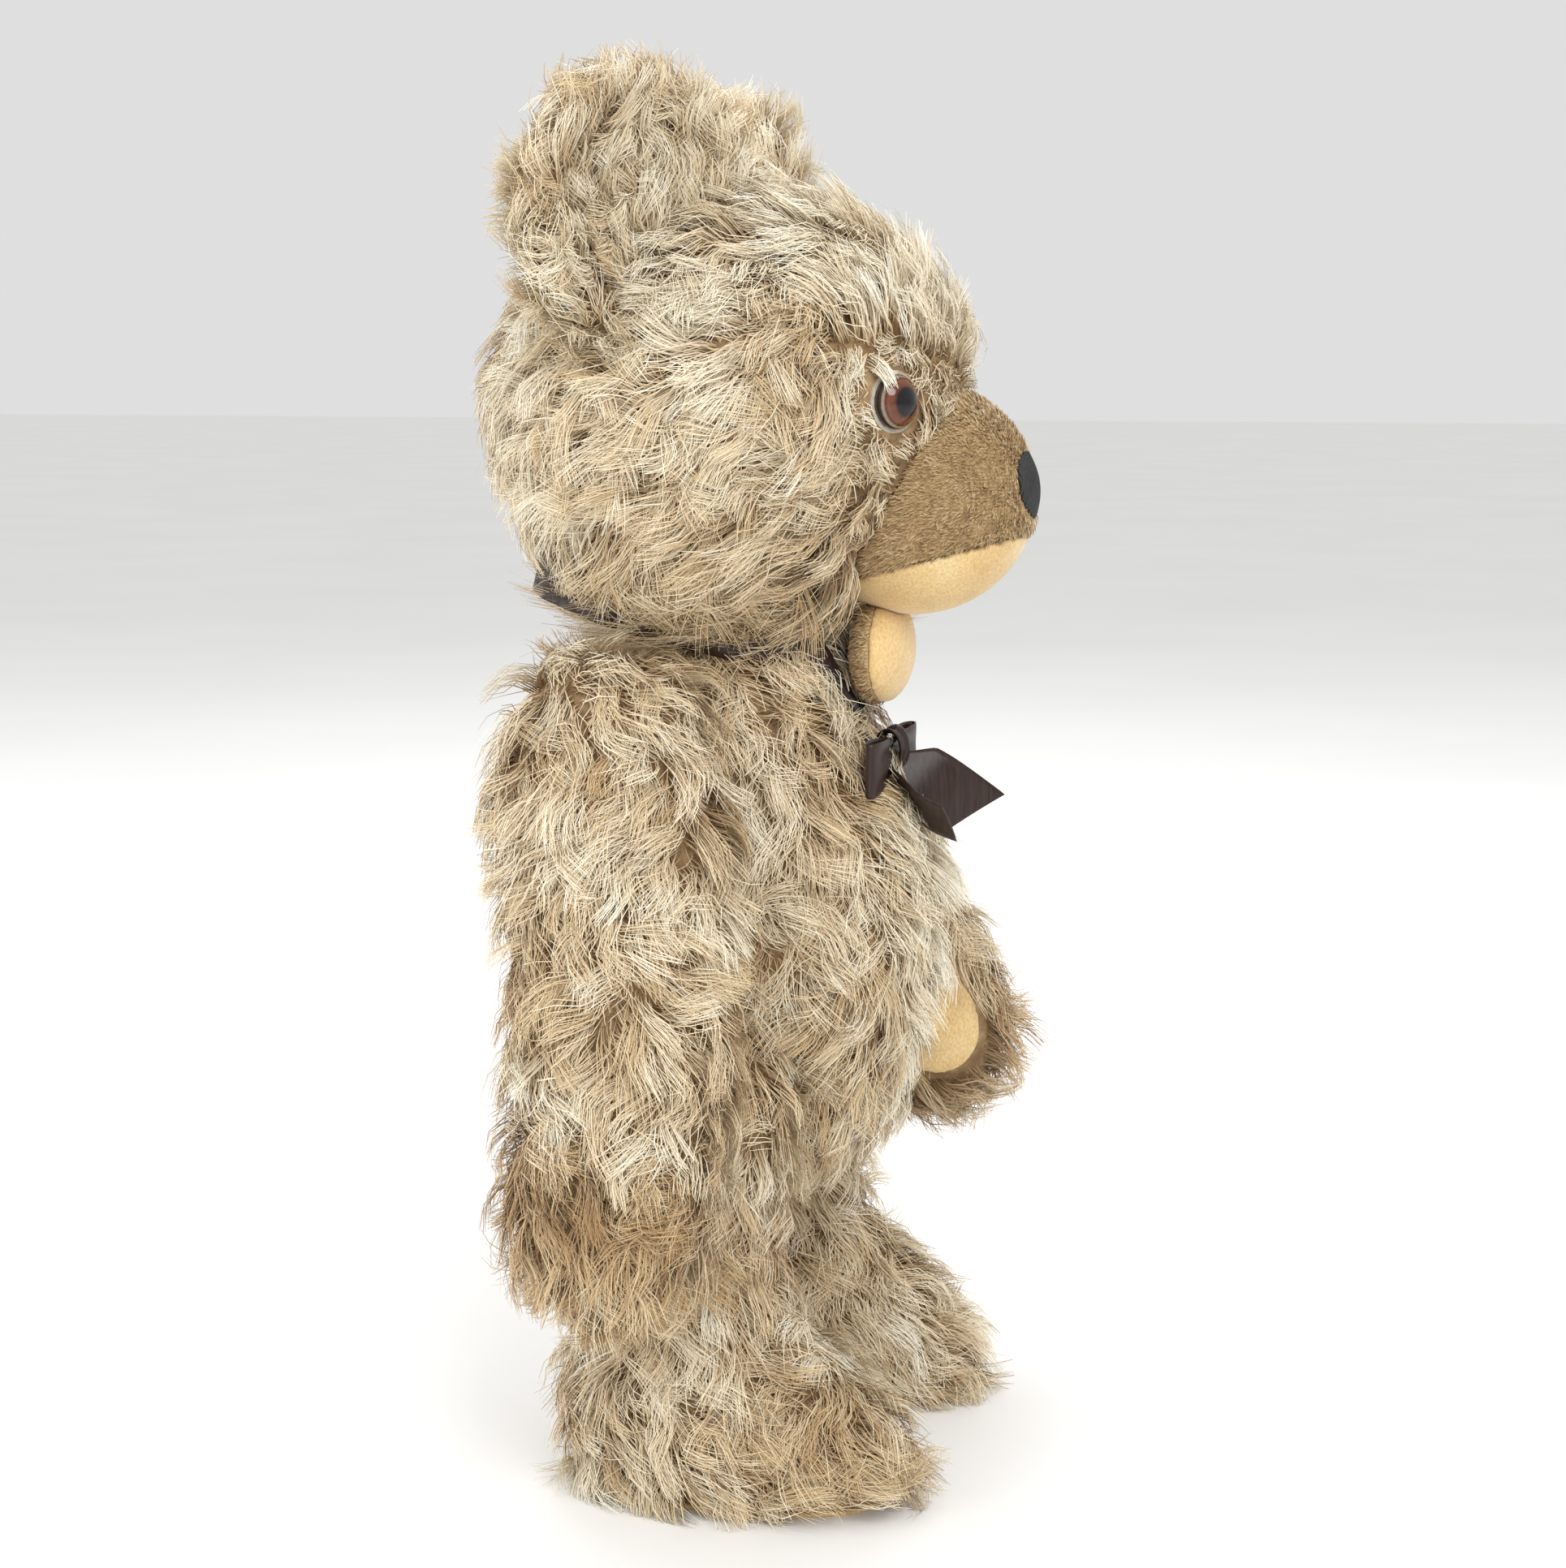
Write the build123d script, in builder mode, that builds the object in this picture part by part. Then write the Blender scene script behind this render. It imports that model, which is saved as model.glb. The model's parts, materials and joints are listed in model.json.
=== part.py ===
from build123d import *
from math import cos, radians, sin, sqrt
import os

# A standing jointed teddy bear. Millimetres, +Z up, the bear faces -Y and its right side is -X.
# The origin is on the floor, in the middle of the bear's outline.

os.makedirs("parts", exist_ok=True)

# ---- driving dimensions -------------------------------------------------------------------

outside = 120.0            # further out than any part of the bear

skin = 3.0                 # backing cloth and the dense foot of the pile
joint_gap = 0.4            # free gap between a limb and the torso, and under the head
seat_radius = 38.0         # flat round seat pressed into the torso at each limb

head_radius = 71.0
head_half_height = 64.0
head_z = 334.0
neck_z = 274.0             # flat underside of the head

muzzle_y = -56.0
muzzle_z = 308.0
muzzle_length = 38.0       # half lengths of the snout
muzzle_height = 36.0
muzzle_width = 34.0
lip_tilt = 15.0
lip_drop = 20.0            # lip line below the middle of the snout

jaw_y = -47.0
jaw_z = 261.0
jaw_thickness = 9.0        # half sizes of the hanging lower jaw
jaw_height = 17.0
jaw_width = 21.0

nose_y = muzzle_y - muzzle_length + 6.0     # set into the front of the snout
nose_z = 311.0
nose_width = 13.5          # half sizes of the stitched nose
nose_depth = 7.0
nose_height = 10.5

eye_radius = 8.0
eye_dome = 4.5
eye_turn = 33.0            # from straight ahead
eye_z = 338.0
eye_socket_depth = 1.5
eye_backing_rim = 1.2      # pale backing that shows round the glass
eye_backing_thickness = 1.0
eye_edge = 1.6             # straight edge of the glass under its dome
shank_radius = 0.7
shank_length = 14.0

ear_radius = 39.0
ear_lift = 22.0            # middle of the ear above its seam
ear_thickness = 11.0
ear_cup = 12.0
ear_seam_low = (67.0, 15.0, 352.0)      # the two ends of the left ear's seam on the head
ear_seam_high = (18.0, -8.0, 394.0)
ear_lean = (0.45, 0.36, 0.60)           # which way the left ear stands out

shoulder_y = 24.0
shoulder_z = 232.0
shoulder_seat_x = 42.0
right_arm_swing = 9.0      # forward of straight down
left_arm_swing = 32.0
arm_splay = 15.0

hip_y = 2.0
hip_z = 121.0
hip_seat_x = 33.6
leg_x = 49.0
limb_tuck = 17.0           # from an arm's flat side to the middle of the arm

sole_thickness = 1.5
pad_thickness = 1.5
pad_middle = 126.0         # down the arm from the shoulder
pad_length = 48.0
pad_width = 34.0

disc_radius = 14.0
neck_disc_radius = 17.0
disc_thickness = 3.0
washer_radius = 8.0
washer_thickness = 1.0
pin_radius = 1.6
pin_head_radius = 4.0
pin_head = 1.5
fit = 0.3                  # clearance round a pin, a disc or a shank

band_width = 19.0
band_thickness = 0.8
band_back_y = 68.0
band_front_y = -36.2
band_back_z = 290.0
band_front_z = 263.0
band_half_width = 46.5

bow_y = -46.0              # back of the bow, in front of the chest
bow_z = 229.0
bow_depth = 7.0
knot_size = 12.0
loop_length = 27.0
loop_height = 17.0
loop_middle = 15.5         # from the middle of the knot to the middle of a loop
tail_root = 3.0            # half width of a tail where it leaves the knot
tail_flare = 8.0           # length over which it opens to the full width
tail_slant = 10.0          # slant of its cut end

# Torso outline: height, middle y, half depth and half width of each level.
torso_levels = [
    (96.0, 0.0, 14.0, 22.0),
    (101.0, 0.0, 32.0, 33.0),
    (110.0, 0.0, 42.0, 39.0),
    (125.0, -1.0, 49.0, 42.0),
    (150.0, -2.0, 56.0, 46.0),
    (178.0, -2.0, 58.0, 49.0),
    (210.0, 4.0, 55.0, 48.0),
    (232.0, 12.0, 50.0, 50.0),
    (246.0, 11.0, 43.0, 45.0),
    (259.0, 8.0, 34.0, 34.0),
    (neck_z - joint_gap, 3.0, 26.0, 26.0),
]

# Arm outline: distance from the shoulder, forward shift, half depth and half width.
arm_levels = [
    (-28.0, 0.0, 8.0, 6.0),
    (-24.0, 0.0, 18.0, 13.0),
    (-12.0, 0.0, 27.0, 18.0),
    (4.0, 0.0, 30.0, 20.0),
    (50.0, 0.0, 30.0, 20.0),
    (90.0, 2.0, 28.0, 19.0),
    (122.0, 6.0, 29.0, 19.0),
    (146.0, 8.0, 25.0, 17.0),
    (158.0, 8.0, 16.0, 11.0),
    (162.0, 8.0, 8.0, 6.0),
]

# Leg outline: height, middle y, half depth and half width. The lowest level is the sole.
leg_levels = [
    (hip_z + 28.0, 2.0, 8.0, 6.0),
    (hip_z + 24.0, 2.0, 17.0, 11.0),
    (hip_z + 12.0, 2.0, 26.0, 14.5),
    (hip_z - 2.0, 2.0, 28.0, 16.5),
    (85.0, 4.0, 27.0, 16.5),
    (62.0, 4.0, 29.0, 19.0),
    (44.0, -2.0, 38.0, 22.0),
    (28.0, -9.0, 48.0, 24.0),
    (14.0, -13.0, 51.0, 24.0),
    (5.0, -13.0, 50.0, 22.5),
    (sole_thickness, -13.0, 46.0, 20.0),
]

# ---- shared shapes ------------------------------------------------------------------------


def inset_levels(levels, inset):
    """The same outline, smaller all round by the inset, its end levels moved inwards too."""
    first = levels[0][0]
    last = levels[-1][0]
    step = inset if last > first else -inset
    kept = []
    for height, middle, depth, width in levels:
        if height == first:
            height = height + step
        if height == last:
            height = height - step
        kept.append((height, middle, max(depth - inset, 2.0), max(width - inset, 2.0)))
    kept.sort(key=lambda level: level[0])
    return kept


def loft_levels(plane, levels, side_shift=0.0):
    """Loft through ellipses that stand across the plane's own Z."""
    faces = []
    for height, middle, depth, width in levels:
        with BuildSketch(plane.offset(height)) as section:
            with Locations((side_shift, middle)):
                Ellipse(width, depth)
        faces.append(section.sketch.face())
    loft(faces)


def round_across(x_from, x_to, y, z, radius, mode=Mode.ADD):
    """A cylinder along X."""
    with BuildSketch(Plane.YZ.offset(min(x_from, x_to))) as ring:
        with Locations((y, z)):
            Circle(radius)
    extrude(ring.sketch, amount=abs(x_to - x_from), mode=mode)


def round_up(z_from, z_to, radius, mode=Mode.ADD):
    """A cylinder along Z on the neck's axis."""
    with BuildSketch(Plane.XY.offset(min(z_from, z_to))) as ring:
        Circle(radius)
    extrude(ring.sketch, amount=abs(z_to - z_from), mode=mode)


def ellipse_solid(center, half_x, half_y, half_z, inset=0.0):
    """An ellipsoid, made outside the builders and then added to one."""
    ball = scale(Sphere(1.0), by=(half_x - inset, half_y - inset, half_z - inset))
    return Pos(*center) * ball


finished = {}


def keep_part(part, name):
    """Keep one finished sub-part until the whole outline is known."""
    finished[name] = part


head_center = (0.0, 0.0, head_z)
muzzle_center = (0.0, muzzle_y, muzzle_z)
jaw_center = (0.0, jaw_y, jaw_z)
nose_center = (0.0, nose_y, nose_z)

head_ball = ellipse_solid(head_center, head_radius, head_radius, head_half_height)
head_hollow = ellipse_solid(head_center, head_radius, head_radius, head_half_height, skin)
muzzle_ball = ellipse_solid(muzzle_center, muzzle_width, muzzle_length, muzzle_height)
jaw_ball = ellipse_solid(jaw_center, jaw_width, jaw_thickness, jaw_height)
nose_ball = ellipse_solid(nose_center, nose_width, nose_depth, nose_height)

# ---- joint hardware places ----------------------------------------------------------------

# Each limb joint: name, side, y, z and the torso's flat seat.
limb_joints = []
for side, word in ((-1, "right"), (1, "left")):
    limb_joints.append((f"{word}_shoulder", side, shoulder_y, shoulder_z, shoulder_seat_x))
    limb_joints.append((f"{word}_hip", side, hip_y, hip_z, hip_seat_x))


def disc_places(seat):
    """Distances from the middle plane of the torso disc, limb disc and their washers."""
    torso_disc = seat - skin - disc_thickness
    torso_washer = torso_disc - washer_thickness
    limb_disc = seat + joint_gap + skin
    limb_washer = limb_disc + disc_thickness
    return torso_disc, torso_washer, limb_disc, limb_washer


# ---- joint hardware -----------------------------------------------------------------------


def make_limb_joint(name, side, y, z, seat):
    torso_disc, torso_washer, limb_disc, limb_washer = disc_places(seat)
    with BuildPart() as inner_disc:
        round_across(side * torso_disc, side * (seat - skin), y, z, disc_radius)
        round_across(side * torso_disc, side * (seat - skin), y, z, pin_radius, Mode.SUBTRACT)
    keep_part(inner_disc.part, f"{name}_torso_disc")
    with BuildPart() as inner_washer:
        round_across(side * torso_washer, side * torso_disc, y, z, washer_radius)
        round_across(side * torso_washer, side * torso_disc, y, z, pin_radius, Mode.SUBTRACT)
    keep_part(inner_washer.part, f"{name}_torso_washer")
    with BuildPart() as outer_disc:
        round_across(side * limb_disc, side * limb_washer, y, z, disc_radius)
        round_across(side * limb_disc, side * limb_washer, y, z, pin_radius + fit, Mode.SUBTRACT)
    keep_part(outer_disc.part, f"{name}_limb_disc")
    limb_washer_top = limb_washer + washer_thickness
    with BuildPart() as outer_washer:
        round_across(side * limb_washer, side * limb_washer_top, y, z, washer_radius)
        round_across(side * limb_washer, side * limb_washer_top, y, z, pin_radius + fit, Mode.SUBTRACT)
    keep_part(outer_washer.part, f"{name}_limb_washer")
    pin_start = torso_washer - pin_head
    pin_end = limb_washer_top + fit + pin_head
    with BuildPart() as pin:
        round_across(side * pin_start, side * pin_end, y, z, pin_radius)
        round_across(side * pin_start, side * torso_washer, y, z, pin_head_radius)
        round_across(side * (pin_end - pin_head), side * pin_end, y, z, pin_head_radius)
    keep_part(pin.part, f"{name}_pin")


for limb_joint in limb_joints:
    make_limb_joint(*limb_joint)

torso_top = neck_z - joint_gap
neck_torso_disc = torso_top - skin - disc_thickness
neck_torso_washer = neck_torso_disc - washer_thickness
neck_head_disc = neck_z + skin
neck_head_washer = neck_head_disc + disc_thickness
neck_washer_top = neck_head_washer + washer_thickness
neck_pin_end = neck_washer_top + fit + pin_head
neck_pin_start = neck_torso_washer - pin_head

with BuildPart() as neck_inner_disc:
    round_up(neck_torso_disc, torso_top - skin, neck_disc_radius)
    round_up(neck_torso_disc, torso_top - skin, pin_radius, Mode.SUBTRACT)
keep_part(neck_inner_disc.part, "neck_torso_disc")

with BuildPart() as neck_inner_washer:
    round_up(neck_torso_washer, neck_torso_disc, washer_radius)
    round_up(neck_torso_washer, neck_torso_disc, pin_radius, Mode.SUBTRACT)
keep_part(neck_inner_washer.part, "neck_torso_washer")

with BuildPart() as neck_outer_disc:
    round_up(neck_head_disc, neck_head_washer, neck_disc_radius)
    round_up(neck_head_disc, neck_head_washer, pin_radius + fit, Mode.SUBTRACT)
keep_part(neck_outer_disc.part, "neck_head_disc")

with BuildPart() as neck_outer_washer:
    round_up(neck_head_washer, neck_washer_top, washer_radius)
    round_up(neck_head_washer, neck_washer_top, pin_radius + fit, Mode.SUBTRACT)
keep_part(neck_outer_washer.part, "neck_head_washer")

with BuildPart() as neck_pin:
    round_up(neck_pin_start, neck_pin_end, pin_radius)
    round_up(neck_pin_start, neck_torso_washer, pin_head_radius)
    round_up(neck_pin_end - pin_head, neck_pin_end, pin_head_radius)
keep_part(neck_pin.part, "neck_pin")

# ---- torso --------------------------------------------------------------------------------


def cut_torso_seats(inset):
    """Flat seats for the four limbs, pressed into the torso's sides."""
    for _, side, y, z, seat in limb_joints:
        round_across(side * (seat - inset), side * outside, y, z, seat_radius + inset, Mode.SUBTRACT)


def cut_joint_pins(radius):
    """Holes for the four limb pins and the neck pin."""
    for _, side, y, z, seat in limb_joints:
        round_across(side * (seat - skin), side * seat, y, z, radius, Mode.SUBTRACT)
    round_up(torso_top - skin, torso_top, radius, Mode.SUBTRACT)


with BuildPart() as torso_hollow:
    loft_levels(Plane.XY, inset_levels(torso_levels, skin))
    cut_torso_seats(skin)

with BuildPart() as torso_shell:
    loft_levels(Plane.XY, torso_levels)
    cut_torso_seats(0.0)
    add(torso_hollow.part, mode=Mode.SUBTRACT)
    cut_joint_pins(pin_radius)
    for _, side, y, z, seat in limb_joints:
        torso_disc = disc_places(seat)[0]
        round_across(side * torso_disc, side * (seat - skin), y, z, disc_radius, Mode.SUBTRACT)
keep_part(torso_shell.part, "torso_shell")

with BuildPart() as torso_stuffing:
    add(torso_hollow.part)
    for _, side, y, z, seat in limb_joints:
        torso_disc, torso_washer, _, _ = disc_places(seat)
        pocket_end = torso_washer - pin_head - fit
        round_across(side * (torso_disc - fit), side * seat, y, z, disc_radius + fit, Mode.SUBTRACT)
        round_across(side * pocket_end, side * seat, y, z, washer_radius + fit, Mode.SUBTRACT)
    round_up(neck_torso_disc - fit, torso_top, neck_disc_radius + fit, Mode.SUBTRACT)
    round_up(neck_pin_start - fit, torso_top, washer_radius + fit, Mode.SUBTRACT)
keep_part(torso_stuffing.part, "torso_stuffing")

# ---- arms ---------------------------------------------------------------------------------


def arm_plane(side, swing):
    """The arm's own frame: Z runs down the arm, Y is forward, X points away from the torso."""
    splay = radians(arm_splay)
    turn = radians(swing)
    down = Vector(side * sin(splay), -cos(splay) * sin(turn), -cos(splay) * cos(turn))
    out = Vector(side * cos(splay), sin(splay) * sin(turn), sin(splay) * cos(turn))
    start = Vector(side * (shoulder_seat_x + joint_gap + limb_tuck), shoulder_y, shoulder_z)
    return Plane(origin=start, x_dir=out, z_dir=down)


def forward_sign(side):
    """Which way the frame's own Y points: the frame stays right-handed on both sides."""
    return -1.0 if side > 0 else 1.0


def arm_solid(side, swing, inset):
    """The arm's outline as a solid, flat against the torso's seat."""
    sign = forward_sign(side)
    levels = [(d, sign * shift, depth, width) for d, shift, depth, width in arm_levels]
    with BuildPart() as arm:
        loft_levels(arm_plane(side, swing), inset_levels(levels, inset))
        flat = shoulder_seat_x + joint_gap + inset
        round_across(0.0, side * flat, shoulder_y, shoulder_z, 2.0 * outside, Mode.SUBTRACT)
    return arm.part


def cut_limb_pin(side, y, z, seat, radius):
    limb_disc = disc_places(seat)[2]
    round_across(side * seat, side * limb_disc, y, z, radius, Mode.SUBTRACT)


def cut_limb_disc(side, y, z, seat):
    """Room in the limb's skin for the rim of its disc."""
    _, _, limb_disc, limb_washer = disc_places(seat)
    round_across(side * limb_disc, side * limb_washer, y, z, disc_radius, Mode.SUBTRACT)


def cut_limb_pocket(side, y, z, seat):
    """Room in the stuffing for the disc, the washer and the end of the pin."""
    limb_washer = disc_places(seat)[3]
    pin_room = limb_washer + washer_thickness + pin_head + 3.0 * fit
    round_across(side * seat, side * (limb_washer + fit), y, z, disc_radius + fit, Mode.SUBTRACT)
    round_across(side * seat, side * pin_room, y, z, washer_radius + fit, Mode.SUBTRACT)


def make_arm(side, word, swing):
    outer = arm_solid(side, swing, 0.0)
    inner = arm_solid(side, swing, skin)
    with BuildPart() as arm_shell:
        add(outer)
        add(inner, mode=Mode.SUBTRACT)
        cut_limb_pin(side, shoulder_y, shoulder_z, shoulder_seat_x, pin_radius + fit)
        cut_limb_disc(side, shoulder_y, shoulder_z, shoulder_seat_x)
    keep_part(arm_shell.part, f"{word}_arm_shell")
    with BuildPart() as arm_stuffing:
        add(inner)
        cut_limb_pocket(side, shoulder_y, shoulder_z, shoulder_seat_x)
    keep_part(arm_stuffing.part, f"{word}_arm_stuffing")
    pad_plane = arm_plane(side, swing).offset(pad_middle)
    with BuildPart() as paw_pad:
        add(arm_solid(side, swing, -pad_thickness))
        add(outer, mode=Mode.SUBTRACT)
        with BuildSketch(Plane(origin=pad_plane.origin, x_dir=pad_plane.z_dir, z_dir=-pad_plane.x_dir)):
            Ellipse(pad_length / 2.0, pad_width / 2.0)
        extrude(amount=outside, mode=Mode.INTERSECT)
    keep_part(paw_pad.part, f"{word}_paw_pad")


make_arm(-1, "right", right_arm_swing)
make_arm(1, "left", left_arm_swing)

# ---- legs ---------------------------------------------------------------------------------


def leg_solid(side, inset):
    with BuildPart() as leg:
        loft_levels(Plane.XY, inset_levels(leg_levels, inset), side * leg_x)
        flat = hip_seat_x + joint_gap + inset
        round_across(0.0, side * flat, hip_y, hip_z, seat_radius + 7.0, Mode.SUBTRACT)
    return leg.part


def make_leg(side, word):
    outer = leg_solid(side, 0.0)
    inner = leg_solid(side, skin)
    with BuildPart() as leg_shell:
        add(outer)
        add(inner, mode=Mode.SUBTRACT)
        cut_limb_pin(side, hip_y, hip_z, hip_seat_x, pin_radius + fit)
        cut_limb_disc(side, hip_y, hip_z, hip_seat_x)
    keep_part(leg_shell.part, f"{word}_leg_shell")
    with BuildPart() as leg_stuffing:
        add(inner)
        cut_limb_pocket(side, hip_y, hip_z, hip_seat_x)
    keep_part(leg_stuffing.part, f"{word}_leg_stuffing")
    _, middle, depth, width = leg_levels[-1]
    with BuildPart() as foot_pad:
        with BuildSketch(Plane.XY):
            with Locations((side * leg_x, middle)):
                Ellipse(width, depth)
        extrude(amount=sole_thickness)
    keep_part(foot_pad.part, f"{word}_foot_pad")


make_leg(-1, "right")
make_leg(1, "left")

# ---- eyes ---------------------------------------------------------------------------------


def eye_plane(side):
    """On the head's surface, its Z pointing out of the head."""
    turn = radians(eye_turn)
    out = Vector(side * sin(turn), -cos(turn), 0.0)
    level = (eye_z - head_z) / head_half_height
    reach = head_radius * sqrt(1.0 - level * level)
    start = Vector(out.X * reach, out.Y * reach, eye_z)
    return Plane(origin=start, x_dir=Vector(0.0, 0.0, 1.0), z_dir=out)


def cut_eye_socket(side, radius):
    with BuildSketch(eye_plane(side).offset(-eye_socket_depth)) as socket:
        Circle(radius)
    extrude(socket.sketch, amount=20.0, mode=Mode.SUBTRACT)


def cut_eye_shank(side, radius, depth):
    with BuildSketch(eye_plane(side).offset(-eye_socket_depth)) as hole:
        Circle(radius)
    extrude(hole.sketch, amount=-depth, mode=Mode.SUBTRACT)


def make_eye(side, word):
    plane = eye_plane(side).offset(-eye_socket_depth)
    backing = eye_backing_thickness
    with BuildPart() as eye_backing:
        with BuildSketch(plane):
            Circle(eye_radius + eye_backing_rim)
            Circle(shank_radius, mode=Mode.SUBTRACT)
        extrude(amount=backing)
    keep_part(eye_backing.part, f"{word}_eye_backing")
    dome_radius = (eye_radius ** 2 + eye_dome ** 2) / (2.0 * eye_dome)
    with BuildPart() as eye_glass:
        with BuildSketch(plane.offset(backing)):
            Circle(eye_radius)
        extrude(amount=eye_edge + eye_dome)
        glass_top = plane.offset(backing + eye_edge + eye_dome - dome_radius)
        with Locations(Location(glass_top)):
            Sphere(dome_radius, mode=Mode.INTERSECT)
    keep_part(eye_glass.part, f"{word}_eye_glass")
    with BuildPart() as eye_shank:
        with BuildSketch(plane.offset(backing)):
            Circle(shank_radius)
        extrude(amount=-(shank_length + backing))
    keep_part(eye_shank.part, f"{word}_eye_shank")


make_eye(-1, "right")
make_eye(1, "left")

# ---- ears ---------------------------------------------------------------------------------


def ear_plane(side):
    """The ear's own frame: its disc lies across Z, which points forwards and outwards."""
    base_low = Vector(side * ear_seam_low[0], ear_seam_low[1], ear_seam_low[2])
    base_high = Vector(side * ear_seam_high[0], ear_seam_high[1], ear_seam_high[2])
    along = (base_high - base_low).normalized()
    away = Vector(side * ear_lean[0], ear_lean[1], ear_lean[2])
    away = (away - along * away.dot(along)).normalized()
    facing = along.cross(away)
    if facing.Y > 0.0:
        facing = facing * -1.0
    middle = (base_low + base_high) * 0.5 + away * ear_lift
    return Plane(origin=middle, x_dir=along, z_dir=facing)


def make_ear(side, word):
    plane = ear_plane(side)
    back_radius = (ear_radius ** 2 + ear_cup ** 2) / (2.0 * ear_cup)
    with BuildPart() as ear:
        with Locations(Location(plane.offset(back_radius - ear_cup))):
            Sphere(back_radius + ear_thickness / 2.0)
            Sphere(back_radius - ear_thickness / 2.0, mode=Mode.SUBTRACT)
        with BuildSketch(plane.offset(-ear_cup - ear_thickness)):
            Circle(ear_radius)
        extrude(amount=ear_cup + 2.0 * ear_thickness, mode=Mode.INTERSECT)
        add(head_ball, mode=Mode.SUBTRACT)
        largest = ear.part.solids().sort_by(SortBy.VOLUME)[-1]
    keep_part(Part([largest]), f"{word}_ear")


make_ear(-1, "right")
make_ear(1, "left")

# ---- head ---------------------------------------------------------------------------------

lip_plane = Plane(origin=(0.0, muzzle_y, muzzle_z - lip_drop), x_dir=(1, 0, 0),
                  z_dir=(0.0, sin(radians(lip_tilt)), cos(radians(lip_tilt))))

head_low = head_z - 1.1 * head_half_height

with BuildPart() as head_inside:
    add(head_hollow)
    with BuildSketch(Plane.XY.offset(head_low)):
        Circle(head_radius)
    extrude(amount=neck_z + skin - head_low, mode=Mode.SUBTRACT)
    for side in (-1, 1):
        with BuildSketch(eye_plane(side).offset(-eye_socket_depth - skin)):
            Circle(eye_radius + eye_backing_rim + skin)
        extrude(amount=20.0, mode=Mode.SUBTRACT)

with BuildPart() as head_shell:
    add(head_ball)
    with BuildSketch(Plane.XY.offset(head_low)):
        Circle(head_radius)
    extrude(amount=neck_z - head_low, mode=Mode.SUBTRACT)
    add(head_inside.part, mode=Mode.SUBTRACT)
    round_up(neck_z, neck_z + skin, pin_radius + fit, Mode.SUBTRACT)
    for side in (-1, 1):
        cut_eye_socket(side, eye_radius + eye_backing_rim + fit)
        cut_eye_shank(side, shank_radius, skin + 1.0)
keep_part(head_shell.part, "head_shell")

with BuildPart() as head_stuffing:
    add(head_inside.part)
    round_up(neck_z, neck_head_washer + fit, neck_disc_radius + fit, Mode.SUBTRACT)
    round_up(neck_z, neck_pin_end + 2.0 * fit, washer_radius + fit, Mode.SUBTRACT)
    for side in (-1, 1):
        cut_eye_shank(side, shank_radius, shank_length + 1.0)
keep_part(head_stuffing.part, "head_stuffing")

with BuildPart() as snout:
    add(muzzle_ball)
    add(head_ball, mode=Mode.SUBTRACT)

with BuildPart() as muzzle:
    add(snout.part)
    split(bisect_by=lip_plane, keep=Keep.TOP)
keep_part(muzzle.part, "muzzle")

with BuildPart() as upper_mouth_felt:
    add(snout.part)
    split(bisect_by=lip_plane, keep=Keep.BOTTOM)
keep_part(upper_mouth_felt.part, "upper_mouth_felt")

with BuildPart() as nose:
    add(nose_ball)
    add(muzzle_ball, mode=Mode.SUBTRACT)
keep_part(nose.part, "nose_stitching")

jaw_plane = Plane(origin=jaw_center, x_dir=(1, 0, 0), z_dir=(0, -1, 0))

with BuildPart() as lower_jaw:
    add(jaw_ball)
    add(head_ball, mode=Mode.SUBTRACT)
    add(muzzle_ball, mode=Mode.SUBTRACT)

with BuildPart() as lower_jaw_felt:
    add(lower_jaw.part)
    split(bisect_by=jaw_plane, keep=Keep.TOP)
keep_part(lower_jaw_felt.part, "lower_jaw_felt")

with BuildPart() as lower_jaw_plush:
    add(lower_jaw.part)
    split(bisect_by=jaw_plane, keep=Keep.BOTTOM)
keep_part(lower_jaw_plush.part, "lower_jaw_plush")

# ---- neck ribbon --------------------------------------------------------------------------

band_middle_y = (band_back_y + band_front_y) / 2.0
band_middle_z = (band_back_z + band_front_z) / 2.0
band_half_depth = (band_back_y - band_front_y) / 2.0
band_slope = Vector(0.0, band_back_y - band_front_y, band_back_z - band_front_z).normalized()
band_up = Vector(0.0, -band_slope.Z, band_slope.Y)
band_plane = Plane(origin=(0.0, band_middle_y, band_middle_z), x_dir=(1, 0, 0), z_dir=band_up)

with BuildPart() as ribbon_band:
    with BuildSketch(band_plane.offset(-band_width / 2.0)):
        Ellipse(band_half_width, band_half_depth)
        Ellipse(band_half_width - band_thickness, band_half_depth - band_thickness, mode=Mode.SUBTRACT)
    extrude(amount=band_width)
keep_part(ribbon_band.part, "ribbon_band")

with BuildPart() as ribbon_bow:
    with BuildSketch(Plane.XZ.offset(-bow_y)):
        with Locations((0.0, bow_z)):
            Rectangle(knot_size, knot_size)
        with Locations((loop_middle, bow_z), (-loop_middle, bow_z)):
            Ellipse(loop_length / 2.0, loop_height / 2.0)
    extrude(amount=bow_depth)
keep_part(ribbon_bow.part, "ribbon_bow")


def make_tail(word, start_x, end_x, end_y, end_z):
    start = Vector(start_x, bow_y - bow_depth / 2.0, bow_z - knot_size / 2.0 - fit)
    run = Vector(end_x, end_y, end_z) - start
    across = run.cross(Vector(0.0, 1.0, 0.35)).normalized()
    plane = Plane(origin=start, x_dir=run.normalized(), z_dir=run.cross(across).normalized())
    with BuildPart() as tail:
        with BuildSketch(plane):
            with BuildLine():
                half = band_width / 2.0
                Polyline((0, -tail_root), (tail_flare, -half), (run.length - tail_slant, -half),
                         (run.length, half), (tail_flare, half), (0, tail_root), close=True)
            make_face()
        extrude(amount=band_thickness)
        add(ribbon_bow.part, mode=Mode.SUBTRACT)
    keep_part(tail.part, f"ribbon_tail_{word}")


make_tail("right", -5.0, -15.0, -80.0, 207.0)
make_tail("left", 7.0, 20.0, -77.0, 196.0)

# ---- origin and files ---------------------------------------------------------------------

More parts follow.
